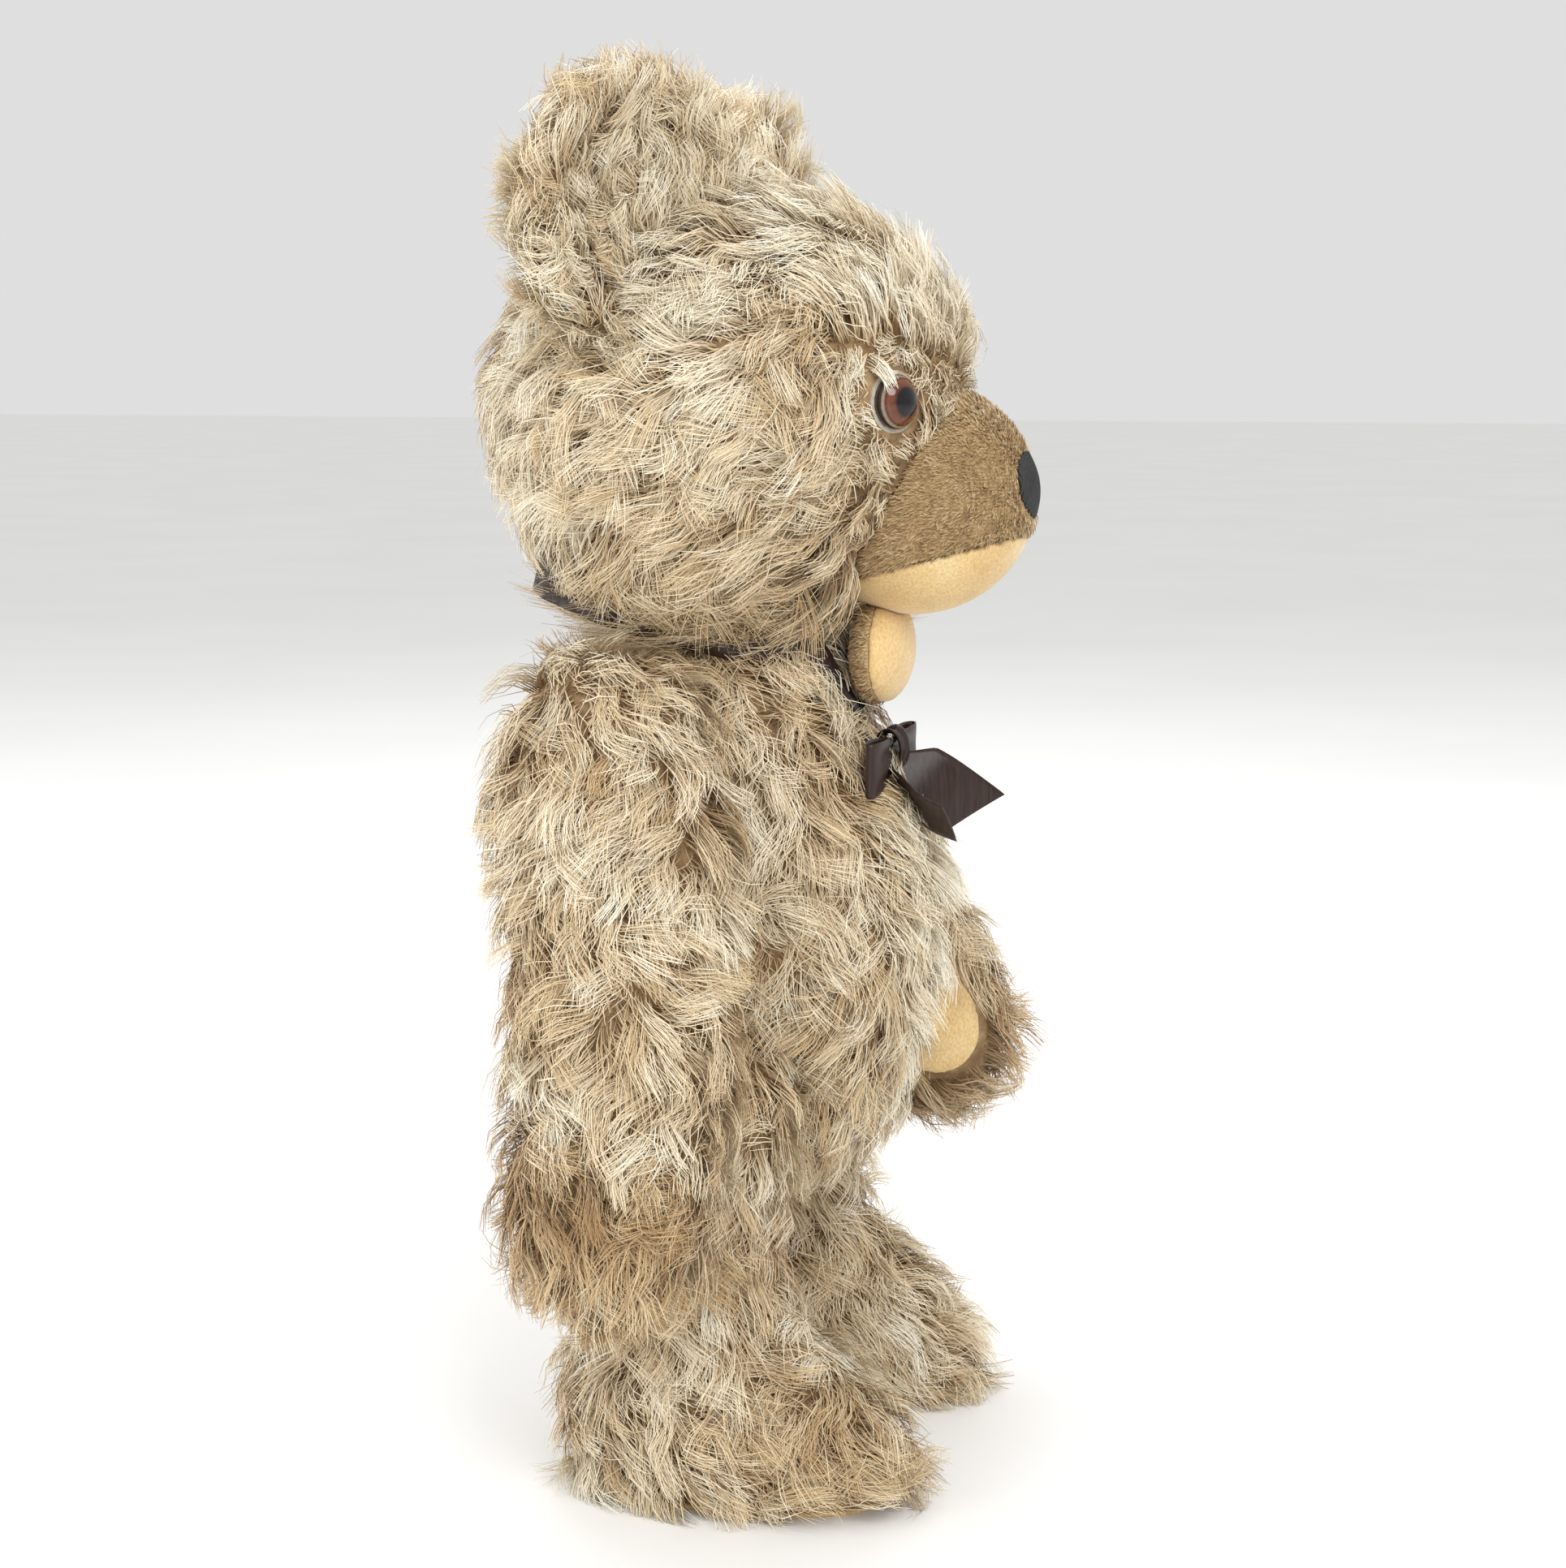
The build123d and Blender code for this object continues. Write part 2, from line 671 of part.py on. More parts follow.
# The bear is modelled round its neck's axis, then moved so that the origin is under its middle.
outline = Compound(children=[Part(part.solids()) for part in finished.values()]).bounding_box()
to_origin = Location((-outline.center().X, -outline.center().Y, 0.0))

for name, part in finished.items():
    placed = part.moved(to_origin)
    placed.label = name
    export_step(placed, f"parts/{name}.step")

print("moved by", round(to_origin.position.X, 4), round(to_origin.position.Y, 4))
print("outline", outline.size)
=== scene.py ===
import json
import bmesh
import bpy
import numpy as np
from math import cos, exp, pi, radians, sin
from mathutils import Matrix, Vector, kdtree


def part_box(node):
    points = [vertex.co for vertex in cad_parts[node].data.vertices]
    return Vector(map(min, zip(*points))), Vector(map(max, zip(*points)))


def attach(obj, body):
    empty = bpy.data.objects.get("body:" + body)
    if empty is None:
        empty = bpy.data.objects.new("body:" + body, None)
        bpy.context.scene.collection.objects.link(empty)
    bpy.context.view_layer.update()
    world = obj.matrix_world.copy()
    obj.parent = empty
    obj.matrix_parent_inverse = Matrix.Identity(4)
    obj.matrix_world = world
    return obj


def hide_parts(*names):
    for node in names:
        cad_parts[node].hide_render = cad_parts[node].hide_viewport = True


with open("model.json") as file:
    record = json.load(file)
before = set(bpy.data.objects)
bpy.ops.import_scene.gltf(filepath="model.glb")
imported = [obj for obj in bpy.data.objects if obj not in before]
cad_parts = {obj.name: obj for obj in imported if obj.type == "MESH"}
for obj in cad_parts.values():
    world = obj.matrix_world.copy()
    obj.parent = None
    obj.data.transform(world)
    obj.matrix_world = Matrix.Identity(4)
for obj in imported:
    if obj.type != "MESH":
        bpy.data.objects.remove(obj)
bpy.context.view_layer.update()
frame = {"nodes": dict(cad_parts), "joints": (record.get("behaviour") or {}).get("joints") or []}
nodes = frame["nodes"]
print("frame loaded")

# Helpers for selection, materials and copies of the CAD nodes.


def deselectAll():
    bpy.ops.object.select_all(action="DESELECT")


def activate(obj):
    deselectAll()
    obj.select_set(True)
    bpy.context.view_layer.objects.active = obj


def applyModifiers(obj):
    activate(obj)
    for modifier in list(obj.modifiers):
        bpy.ops.object.modifier_apply(modifier=modifier.name)


def setMaterial(obj, material):
    obj.data.materials.clear()
    obj.data.materials.append(material)


def smoothShade(obj, angle=60):
    activate(obj)
    bpy.ops.object.shade_smooth_by_angle(angle=radians(angle))


def unit(rows):
    return rows / np.maximum(np.linalg.norm(rows, axis=1, keepdims=True), 1e-9)


def copyNode(name, pieceName):
    # A merged copy of a CAD node; the node itself is left as it is.
    piece = nodes[name].copy()
    piece.data = nodes[name].data.copy()
    piece.name = pieceName
    piece.parent = None
    for key in list(piece.keys()):
        del piece[key]
    bpy.context.scene.collection.objects.link(piece)
    shell = bmesh.new()
    shell.from_mesh(piece.data)
    bmesh.ops.remove_doubles(shell, verts=shell.verts, dist=1e-6)
    shell.to_mesh(piece.data)
    shell.free()
    piece.data.materials.clear()
    return piece


def keepOuter(piece):
    # A hollow skin has an outer and an inner wall: only the larger one stays.
    shell = bmesh.new()
    shell.from_mesh(piece.data)
    seen = set()
    groups = []
    for start in shell.verts:
        if start in seen:
            continue
        group = []
        queue = [start]
        seen.add(start)
        while queue:
            vert = queue.pop()
            group.append(vert)
            for edge in vert.link_edges:
                other = edge.other_vert(vert)
                if other not in seen:
                    seen.add(other)
                    queue.append(other)
        groups.append(group)
    groups.sort(key=lambda group: max(v.co.z for v in group) - min(v.co.z for v in group))
    for group in groups[:-1]:
        bmesh.ops.delete(shell, geom=group, context="VERTS")
    shell.to_mesh(piece.data)
    shell.free()


# Materials of the coat and its backing.


def startMaterial(name):
    material = bpy.data.materials.new(name)
    material.use_nodes = True
    tree = material.node_tree
    return material, tree, tree.nodes["Principled BSDF"]


def addRamp(tree, source, stops):
    ramp = tree.nodes.new("ShaderNodeValToRGB")
    while len(ramp.color_ramp.elements) > 1:
        ramp.color_ramp.elements.remove(ramp.color_ramp.elements[-1])
    first = True
    for place, colour in stops:
        if first:
            element = ramp.color_ramp.elements[0]
            element.position = place
            first = False
        else:
            element = ramp.color_ramp.elements.new(place)
        element.color = (*colour, 1.0)
    tree.links.new(source, ramp.inputs["Fac"])
    return ramp.outputs["Color"]


def addMix(tree, factor, first, second, blend="MIX"):
    mix = tree.nodes.new("ShaderNodeMix")
    mix.data_type = "RGBA"
    mix.blend_type = blend
    if isinstance(factor, float):
        mix.inputs["Factor"].default_value = factor
    else:
        tree.links.new(factor, mix.inputs["Factor"])
    for socket, value in (("A", first), ("B", second)):
        target = [i for i in mix.inputs if i.name == socket and i.type == "RGBA"][0]
        if isinstance(value, tuple):
            target.default_value = (*value, 1.0)
        else:
            tree.links.new(value, target)
    return [o for o in mix.outputs if o.type == "RGBA"][0]


def makeGrainGroup():
    # Grain, mottle or fibre in the piece's own coordinates, stretched where threads run.
    group = bpy.data.node_groups.new("grain", "ShaderNodeTree")
    for name, kind in (("Scale", "NodeSocketFloat"), ("Detail", "NodeSocketFloat"),
                       ("Stretch", "NodeSocketVector")):
        group.interface.new_socket(name=name, in_out="INPUT", socket_type=kind)
    group.interface.new_socket(name="Grain", in_out="OUTPUT", socket_type="NodeSocketFloat")
    given = group.nodes.new("NodeGroupInput")
    result = group.nodes.new("NodeGroupOutput")
    place = group.nodes.new("ShaderNodeTexCoord")
    mapping = group.nodes.new("ShaderNodeMapping")
    noise = group.nodes.new("ShaderNodeTexNoise")
    noise.inputs["Roughness"].default_value = 0.55
    group.links.new(given.outputs["Scale"], noise.inputs["Scale"])
    group.links.new(given.outputs["Detail"], noise.inputs["Detail"])
    group.links.new(given.outputs["Stretch"], mapping.inputs["Scale"])
    group.links.new(place.outputs["Object"], mapping.inputs["Vector"])
    group.links.new(mapping.outputs["Vector"], noise.inputs["Vector"])
    group.links.new(noise.outputs["Fac"], result.inputs["Grain"])
    return group


grainGroup = makeGrainGroup()


def addNoise(tree, scale, detail=3.0, stretch=(1.0, 1.0, 1.0)):
    grain = tree.nodes.new("ShaderNodeGroup")
    grain.node_tree = grainGroup
    grain.inputs["Scale"].default_value = scale
    grain.inputs["Detail"].default_value = detail
    grain.inputs["Stretch"].default_value = stretch
    return grain.outputs["Grain"]


def addBump(tree, shader, height, strength, distance):
    bump = tree.nodes.new("ShaderNodeBump")
    bump.inputs["Strength"].default_value = strength
    bump.inputs["Distance"].default_value = distance
    tree.links.new(height, bump.inputs["Height"])
    tree.links.new(bump.outputs["Normal"], shader.inputs["Normal"])


mohairTones = {
    "root": [(0.0, (0.13, 0.060, 0.020)), (0.5, (0.29, 0.165, 0.066)), (1.0, (0.58, 0.40, 0.18))],
    "tip": [(0.0, (0.40, 0.235, 0.095)), (0.35, (0.63, 0.445, 0.230)), (0.65, (0.84, 0.70, 0.47)),
            (0.85, (0.93, 0.85, 0.66)), (1.0, (0.96, 0.92, 0.78))],
    "blend": [(0.0, (0.0, 0.0, 0.0)), (0.45, (0.6, 0.6, 0.6)), (0.85, (1.0, 1.0, 1.0))],
}


def makeMohairMaterial():
    # The strand's own map: across is its tone, up is root to tip.
    material, tree, shader = startMaterial("tippedMohair")
    strandMap = tree.nodes.new("ShaderNodeUVMap")
    strandMap.uv_map = "OFBake"
    split = tree.nodes.new("ShaderNodeSeparateXYZ")
    tree.links.new(strandMap.outputs["UV"], split.inputs["Vector"])
    rootTone = addRamp(tree, split.outputs["X"], mohairTones["root"])
    tipTone = addRamp(tree, split.outputs["X"], mohairTones["tip"])
    upStrand = addRamp(tree, split.outputs["Y"], mohairTones["blend"])
    toned = addMix(tree, upStrand, rootTone, tipTone)
    tree.links.new(toned, shader.inputs["Base Color"])
    shader.inputs["Roughness"].default_value = 0.42
    shader.inputs["Specular IOR Level"].default_value = 0.45
    shader.inputs["Sheen Weight"].default_value = 0.15
    return material


def makeBackingMaterial():
    # Woven backing cloth and the crowded foot of the pile.
    material, tree, shader = startMaterial("pileBacking")
    mottle = addNoise(tree, 160.0, 5.0)
    tone = addRamp(tree, mottle, [(0.3, (0.17, 0.095, 0.045)), (0.55, (0.30, 0.19, 0.09)),
                                  (0.75, (0.44, 0.31, 0.17))])
    tree.links.new(tone, shader.inputs["Base Color"])
    shader.inputs["Roughness"].default_value = 0.9
    addBump(tree, shader, addNoise(tree, 900.0, 2.0), 0.6, 0.0006)
    return material


tippedMohair = makeMohairMaterial()
pileBacking = makeBackingMaterial()

# Skins under the coat, one for each stuffed part.

skinPieces = {
    "headSkin": {"node": "head_shell", "body": "head", "voxel": 0.0035},
    "torsoSkin": {"node": "torso_shell", "body": "torso", "voxel": 0.0035},
    "rightArmSkin": {"node": "right_arm_shell", "body": "right_arm", "voxel": 0.003},
    "leftArmSkin": {"node": "left_arm_shell", "body": "left_arm", "voxel": 0.003},
    "rightLegSkin": {"node": "right_leg_shell", "body": "right_leg", "voxel": 0.003},
    "leftLegSkin": {"node": "left_leg_shell", "body": "left_leg", "voxel": 0.003},
    "rightEarSkin": {"node": "right_ear", "body": "head", "voxel": 0.002},
    "leftEarSkin": {"node": "left_ear", "body": "head", "voxel": 0.002},
}


def makeSkin(name, facts):
    skin = copyNode(facts["node"], name)
    skinBody = skin.modifiers.new("even", "REMESH")
    skinBody.mode = "VOXEL"
    skinBody.voxel_size = facts["voxel"]
    soften = skin.modifiers.new("soften", "SMOOTH")
    soften.iterations = 3
    soften.factor = 0.5
    applyModifiers(skin)
    keepOuter(skin)
    setMaterial(skin, pileBacking)
    bpy.ops.object.shade_smooth()
    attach(skin, facts["body"])
    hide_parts(facts["node"])
    return skin


skins = {}
for skinName, skinFacts in skinPieces.items():
    skins[skinName] = makeSkin(skinName, skinFacts)
    print("skin", skinName, len(skins[skinName].data.polygons))

# The coat: strands of pile grown on the skins.


def sampleRoots(skin, count, seed):
    # Even points over the skin, with its smooth normals.
    mesh = skin.data
    mesh.calc_loop_triangles()
    corners = np.empty(len(mesh.vertices) * 3)
    mesh.vertices.foreach_get("co", corners)
    corners = corners.reshape(-1, 3)
    normals = np.empty(len(mesh.vertices) * 3)
    mesh.vertices.foreach_get("normal", normals)
    normals = normals.reshape(-1, 3)
    triangles = np.empty(len(mesh.loop_triangles) * 3, dtype=np.int32)
    mesh.loop_triangles.foreach_get("vertices", triangles)
    triangles = triangles.reshape(-1, 3)
    a, b, c = (corners[triangles[:, i]] for i in range(3))
    area = np.linalg.norm(np.cross(b - a, c - a), axis=1)
    chance = np.random.default_rng(seed)
    chosen = chance.choice(len(triangles), size=count, p=area / area.sum())
    across = chance.random((count, 2))
    across = np.where(across.sum(axis=1, keepdims=True) > 1.0, 1.0 - across, across)
    weights = np.column_stack([1.0 - across.sum(axis=1), across])
    places = np.zeros((count, 3))
    facing = np.zeros((count, 3))
    for i in range(3):
        places += weights[:, i:i + 1] * corners[triangles[chosen, i]]
        facing += weights[:, i:i + 1] * normals[triangles[chosen, i]]
    return places, unit(facing)


def blotches(places, size, seed):
    # Soft patches between -1 and 1, a few waves in turned directions.
    chance = np.random.default_rng(seed)
    total = np.zeros(len(places))
    for _ in range(7):
        direction = chance.normal(size=3)
        direction /= np.linalg.norm(direction)
        wave = 2.0 * pi / (size * chance.uniform(0.6, 1.6))
        total += np.sin(places @ direction * wave + chance.uniform(0.0, 2.0 * pi))
    return total / 4.0


def nearestLock(places, lockPlaces):
    tree = kdtree.KDTree(len(lockPlaces))
    for index, place in enumerate(lockPlaces):
        tree.insert(place, index)
    tree.balance()
    return np.array([tree.find(place)[1] for place in places])


def turnAbout(vectors, axes, angles):
    # Rodrigues' turn of each vector about its own axis.
    c = np.cos(angles)[:, None]
    s = np.sin(angles)[:, None]
    along = (vectors * axes).sum(axis=1, keepdims=True)
    return vectors * c + np.cross(axes, vectors) * s + axes * along * (1.0 - c)


def strandCurve(places, facing, combed, length, facts, phase, bend, t):
    # Rises from the skin, leans over with the comb, and curls at its end.
    side = np.cross(facing, combed)
    rise = facts["lift"] * t - facts["droop"] * t * t
    lean = facts["lean"] * t + (1.0 - facts["lean"]) * t * t
    curl = facts["curl"]
    swing = bend * t * facts["turns"] * pi
    return (places
            + facing * (length * rise)[:, None]
            + combed * (length * lean)[:, None]
            + side * (curl * t * (np.cos(phase + swing) - np.cos(phase)))[:, None]
            + facing * (0.6 * curl * t * (np.sin(phase + swing) - np.sin(phase)))[:, None])


def strandMesh(name, paths, outward, widths, tone, seed):
    # One flat tapering strip for each strand, turned at random about its own length.
    count, points = paths.shape[0], paths.shape[1]
    chance = np.random.default_rng(seed)
    corners = np.empty((count, points, 2, 3))
    shading = np.empty((count, points, 2, 3))
    roll = chance.uniform(-1.0, 1.0, count)
    for i in range(points):
        ahead = paths[:, min(i + 1, points - 1)] - paths[:, max(i - 1, 0)]
        ahead = unit(ahead)
        across = turnAbout(unit(np.cross(ahead, outward)), ahead, roll)
        half = (widths[i] * 0.5)
        corners[:, i, 0] = paths[:, i] - across * half
        corners[:, i, 1] = paths[:, i] + across * half
        upward = unit(np.cross(across, ahead)) * 0.45 + outward * 0.55
        shading[:, i, 0] = unit(upward - across * 0.35)
        shading[:, i, 1] = unit(upward + across * 0.35)
    corners[:, :, :, 2] = np.maximum(corners[:, :, :, 2], 0.0004)
    mesh = bpy.data.meshes.new(name)
    mesh.vertices.add(count * points * 2)
    mesh.vertices.foreach_set("co", corners.reshape(-1))
    first = (np.arange(count) * points * 2)[:, None] + (np.arange(points - 1) * 2)[None, :]
    quads = np.stack([first, first + 1, first + 3, first + 2], axis=2).reshape(-1)
    faceCount = count * (points - 1)
    mesh.loops.add(faceCount * 4)
    mesh.loops.foreach_set("vertex_index", quads.astype(np.int32))
    mesh.polygons.add(faceCount)
    mesh.polygons.foreach_set("loop_start", (np.arange(faceCount) * 4).astype(np.int32))
    mesh.polygons.foreach_set("use_smooth", np.ones(faceCount, dtype=bool))
    mesh.update(calc_edges=True)
    mesh.normals_split_custom_set_from_vertices(shading.reshape(-1, 3))
    strandMap = mesh.uv_layers.new(name="OFBake")
    low = np.arange(points - 1) / (points - 1.0)
    high = (np.arange(points - 1) + 1.0) / (points - 1.0)
    rise = np.stack([low, low, high, high], axis=1)
    rise = np.broadcast_to(rise, (count, points - 1, 4))
    left = tone - 0.002
    right = tone + 0.002
    sides = np.stack([left, right, right, left], axis=1)[:, None, :]
    sides = np.broadcast_to(sides, (count, points - 1, 4))
    pairs = np.stack([sides, np.clip(rise, 0.002, 0.998)], axis=3)
    strandMap.data.foreach_set("uv", pairs.reshape(-1))
    strands = bpy.data.objects.new(name, mesh)
    bpy.context.scene.collection.objects.link(strands)
    return strands


shaggyCoat = {
    "length": 0.0165, "lift": 0.78, "droop": 0.40, "lean": 0.42, "curl": 0.0042, "turns": 1.5,
    "gather": 0.50, "strandsPerLock": 24, "width": 0.00042, "tip": 0.3, "points": 5, "stray": 0.16,
    "turnLock": 0.42, "turnStrand": 0.26, "swirl": 0.85,
}


def growCoat(name, skin, body, count, comb, tone, keep, facts=None, seed=1, pieces=1, lengthOf=None):
    facts = {**shaggyCoat, **(facts or {})}
    places, facing = sampleRoots(skin, count, seed)
    kept = keep(places, facing)
    places, facing = places[kept], facing[kept]
    count = len(places)
    chance = np.random.default_rng(seed + 100)
    lockCount = max(count // facts["strandsPerLock"], 4)
    lockPicks = chance.choice(count, lockCount, replace=False)
    lock = nearestLock(places, places[lockPicks])
    lockPlace, lockFacing = places[lockPicks], facing[lockPicks]

    def combedBy(p, n, turn):
        direction = comb(p, n)
        direction = unit(direction - n * (direction * n).sum(axis=1, keepdims=True))
        return turnAbout(direction, n, turn)

    lockTurn = (chance.normal(0.0, facts["turnLock"], lockCount)
                + facts["swirl"] * blotches(lockPlace, 0.042, seed + 7))
    lockComb = combedBy(lockPlace, lockFacing, lockTurn)
    lockPhase = chance.uniform(0.0, 2.0 * pi, lockCount)
    lockBend = chance.choice([-1.0, 1.0], lockCount) * chance.uniform(0.6, 1.2, lockCount)
    lockLength = facts["length"] * chance.uniform(0.8, 1.2, lockCount)
    lockTone = chance.normal(0.0, 0.11, lockCount)
    if lengthOf is not None:
        lockLength = lockLength * lengthOf(lockPlace)

    ownComb = combedBy(places, facing, lockTurn[lock] + chance.normal(0.0, facts["turnStrand"], count))
    ownLength = lockLength[lock] * chance.uniform(0.75, 1.15, count)
    stray = chance.random(count) < facts["stray"]
    ownPhase = lockPhase[lock] + chance.normal(0.0, 0.35, count) + stray * chance.uniform(-2.0, 2.0, count)
    ownBend = lockBend[lock] * chance.uniform(0.8, 1.2, count)
    gather = np.where(stray, 0.1, facts["gather"]) * chance.uniform(0.8, 1.1, count)
    steps = facts["points"]
    paths = np.empty((count, steps, 3))
    for i in range(steps):
        t = i / (steps - 1.0)
        own = strandCurve(places, facing, ownComb, ownLength, facts, ownPhase, ownBend, t)
        lockPath = strandCurve(lockPlace, lockFacing, lockComb, lockLength, facts, lockPhase, lockBend, t)
        pull = (gather * t ** 0.8)[:, None]
        paths[:, i] = own * (1.0 - pull) + lockPath[lock] * pull
    toned = np.clip(tone(places) + lockTone[lock] + chance.normal(0.0, 0.12, count), 0.01, 0.99)
    thinning = [(i / (steps - 1.0)) ** 1.5 for i in range(steps)]
    widths = [facts["width"] * (1.0 - (1.0 - facts["tip"]) * thin) for thin in thinning]
    grown = []
    for part in range(pieces):
        mine = np.arange(part, count, pieces)
        strands = strandMesh(f"{name}{part + 1}" if pieces > 1 else name, paths[mine], facing[mine], widths,
                             toned[mine], seed + 500 + part)
        setMaterial(strands, tippedMohair)
        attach(strands, body)
        grown.append(strands)
    print("coat", name, count, "strands")
    return grown


strandCounts = {"head": 57000, "torso": 41000, "arm": 21000, "leg": 21000, "ear": 13000,
                "snout": 26000, "jaw": 6000}

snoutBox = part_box("muzzle")
snoutMiddle = np.array([0.0, snoutBox[0].y + 0.038, 0.308])
snoutReach = np.array([0.0352, 0.040, 0.0372])
eyeMiddle = {side: (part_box(f"{side}_eye_glass")[0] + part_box(f"{side}_eye_glass")[1]) * 0.5
             for side in ("right", "left")}
neckJoint = [j for j in frame["joints"] if j["name"] == "neck_turn"][0]
neckPlace = np.array(neckJoint["pos_m"])
headMiddle = np.array([0.0, neckPlace[1], 0.334])
headReach = np.array([0.071, 0.071, 0.064])


def outsideEyes(places, reach):
    clear = np.ones(len(places), dtype=bool)
    for middle in eyeMiddle.values():
        clear &= np.linalg.norm(places - np.array(middle), axis=1) > reach
    return clear


def clearOf(name, places, reach):
    # Away from the points of a CAD node, such as a felt pad.
    tree = kdtree.KDTree(len(nodes[name].data.vertices))
    for index, vert in enumerate(nodes[name].data.vertices):
        tree.insert(vert.co, index)
    tree.balance()
    return np.array([tree.find(place)[2] > reach for place in places])


def keepHead(places, facing):
    away = (places - snoutMiddle) / snoutReach
    return ((away ** 2).sum(axis=1) > 1.0) & outsideEyes(places, 0.0105) & (facing[:, 2] > -0.985)


def combHead(places, facing):
    away = unit(places - (snoutMiddle + np.array([0.0, 0.005, 0.01])))
    down = np.array([0.0, 0.0, -1.0])
    low = np.clip((0.312 - places[:, 2]) / 0.03, 0.0, 1.0)[:, None]
    out = unit((places - headMiddle) * np.array([1.0, 1.0, 0.0]))
    return away * (0.9 - 0.6 * low) + down * (0.55 + 0.6 * low) + out * (0.7 * low)


def headLength(places):
    # Short round the eyes and the snout, full length behind them.
    nearest = np.full(len(places), 1.0)
    for middle in eyeMiddle.values():
        reach = np.linalg.norm(places - np.array(middle), axis=1)
        nearest = np.minimum(nearest, np.clip((reach - 0.008) / 0.016, 0.28, 1.0))
    away = np.sqrt((((places - snoutMiddle) / snoutReach) ** 2).sum(axis=1))
    low = np.clip((0.312 - places[:, 2]) / 0.025, 0.0, 1.0)     # the cheeks hang over the ribbon
    behind = np.clip((places[:, 1] - 0.045) / 0.02, 0.0, 1.0)
    bySnout = np.maximum(np.clip((away - 0.9) / 0.5, 0.35, 1.0), 0.9 * low)
    return np.minimum(nearest, bySnout) * (1.0 + 0.75 * low - 0.95 * low * behind)


def headToneAndTopLight(places):
    # Paler towards the crown and darker under the head: painted light from above. The blotches are the
    # fur's own patchy tone.
    high = np.clip((places[:, 2] - 0.33) / 0.07, -0.5, 1.0)
    return 0.68 + 0.24 * high + 0.20 * blotches(places, 0.035, 3)


growCoat("headCoat", skins["headSkin"], "head", strandCounts["head"], combHead, headToneAndTopLight, keepHead,
         seed=11, pieces=3, lengthOf=headLength)

joints = {j["name"]: np.array(j.get("pos_m", (0.0, 0.0, 0.0))) for j in frame["joints"]}


def keepTorso(places, facing):
    kept = facing[:, 2] < 0.97
    for name, place in joints.items():
        if name == "neck_turn":
            continue
        across = np.hypot(places[:, 1] - place[1], places[:, 2] - place[2])
        onSide = np.sign(places[:, 0]) == np.sign(place[0])
        kept &= ~(onSide & (across < 0.030) & (np.abs(facing[:, 0]) > 0.9))
    return kept


def combTorso(places, facing):
    return np.tile(np.array([0.0, 0.0, -1.0]), (len(places), 1)) + facing * np.array([0.25, 0.25, 0.0])


def torsoTone(places):
    # The bib in front is paler and creamier than the sides.
    front = np.clip((-places[:, 1] - 0.018) / 0.03, 0.0, 1.0)
    front = front * np.clip(1.0 - np.abs(places[:, 0]) / 0.05, 0.0, 1.0)
    return 0.60 + 0.34 * front + 0.22 * blotches(places, 0.035, 5)


growCoat("torsoCoat", skins["torsoSkin"], "torso", strandCounts["torso"], combTorso, torsoTone, keepTorso,
         seed=21, pieces=2)

armAxis = {"right": (9.0, -1.0), "left": (32.0, 1.0)}


def limbDown(side):
    swing, sign = armAxis[side]
    splay = radians(15.0)
    turn = radians(swing)
    return np.array([sign * sin(splay), -cos(splay) * sin(turn), -cos(splay) * cos(turn)])


def limbTone(places):
    return 0.63 + 0.24 * blotches(places, 0.04, 9)


for side in ("right", "left"):
    down = limbDown(side)
    shoulder = joints[f"{side}_shoulder"]

    def combArm(places, facing, down=down):
        return np.tile(down, (len(places), 1))

    def keepArm(places, facing, side=side):
        return (np.abs(places[:, 0]) > 0.0436) & clearOf(f"{side}_paw_pad", places, 0.0035)

    def armTone(places, down=down, shoulder=shoulder):
        along = (places - shoulder) @ down
        return limbTone(places) - 0.26 * np.clip((along - 0.07) / 0.09, 0.0, 1.0)

    growCoat(f"{side}ArmCoat", skins[f"{side}ArmSkin"], f"{side}_arm", strandCounts["arm"], combArm,
             armTone, keepArm, seed=31 + len(side))

    def keepLeg(places, facing, side=side):
        seated = (np.abs(places[:, 0]) > 0.0352) | (places[:, 2] < 0.078)
        return seated & (places[:, 2] > 0.003) & clearOf(f"{side}_foot_pad", places, 0.0035)

    def combLeg(places, facing):
        low = np.clip((0.06 - places[:, 2]) / 0.04, 0.0, 1.0)[:, None]
        out = facing * np.array([1.0, 1.0, 0.0])
        return np.array([0.0, 0.0, -1.0]) * (1.0 - 0.6 * low) + (out + np.array([0.0, -0.6, 0.0])) * low

    growCoat(f"{side}LegCoat", skins[f"{side}LegSkin"], f"{side}_leg", strandCounts["leg"], combLeg,
             limbTone, keepLeg, seed=41 + len(side))

    earBase = np.array([0.040 * (1 if side == "left" else -1), 0.014, 0.368])

    def combEar(places, facing, earBase=earBase):
        return places - earBase

    def keepAll(places, facing):
        return np.ones(len(places), dtype=bool)

    def earTone(places):
        return 0.72 + 0.18 * blotches(places, 0.03, 13)

    growCoat(f"{side}EarCoat", skins[f"{side}EarSkin"], "head", strandCounts["ear"], combEar, earTone,
             keepAll, facts={"length": 0.013}, seed=51 + len(side))

# Snout, mouth and jaw, with their clipped pile and felt.


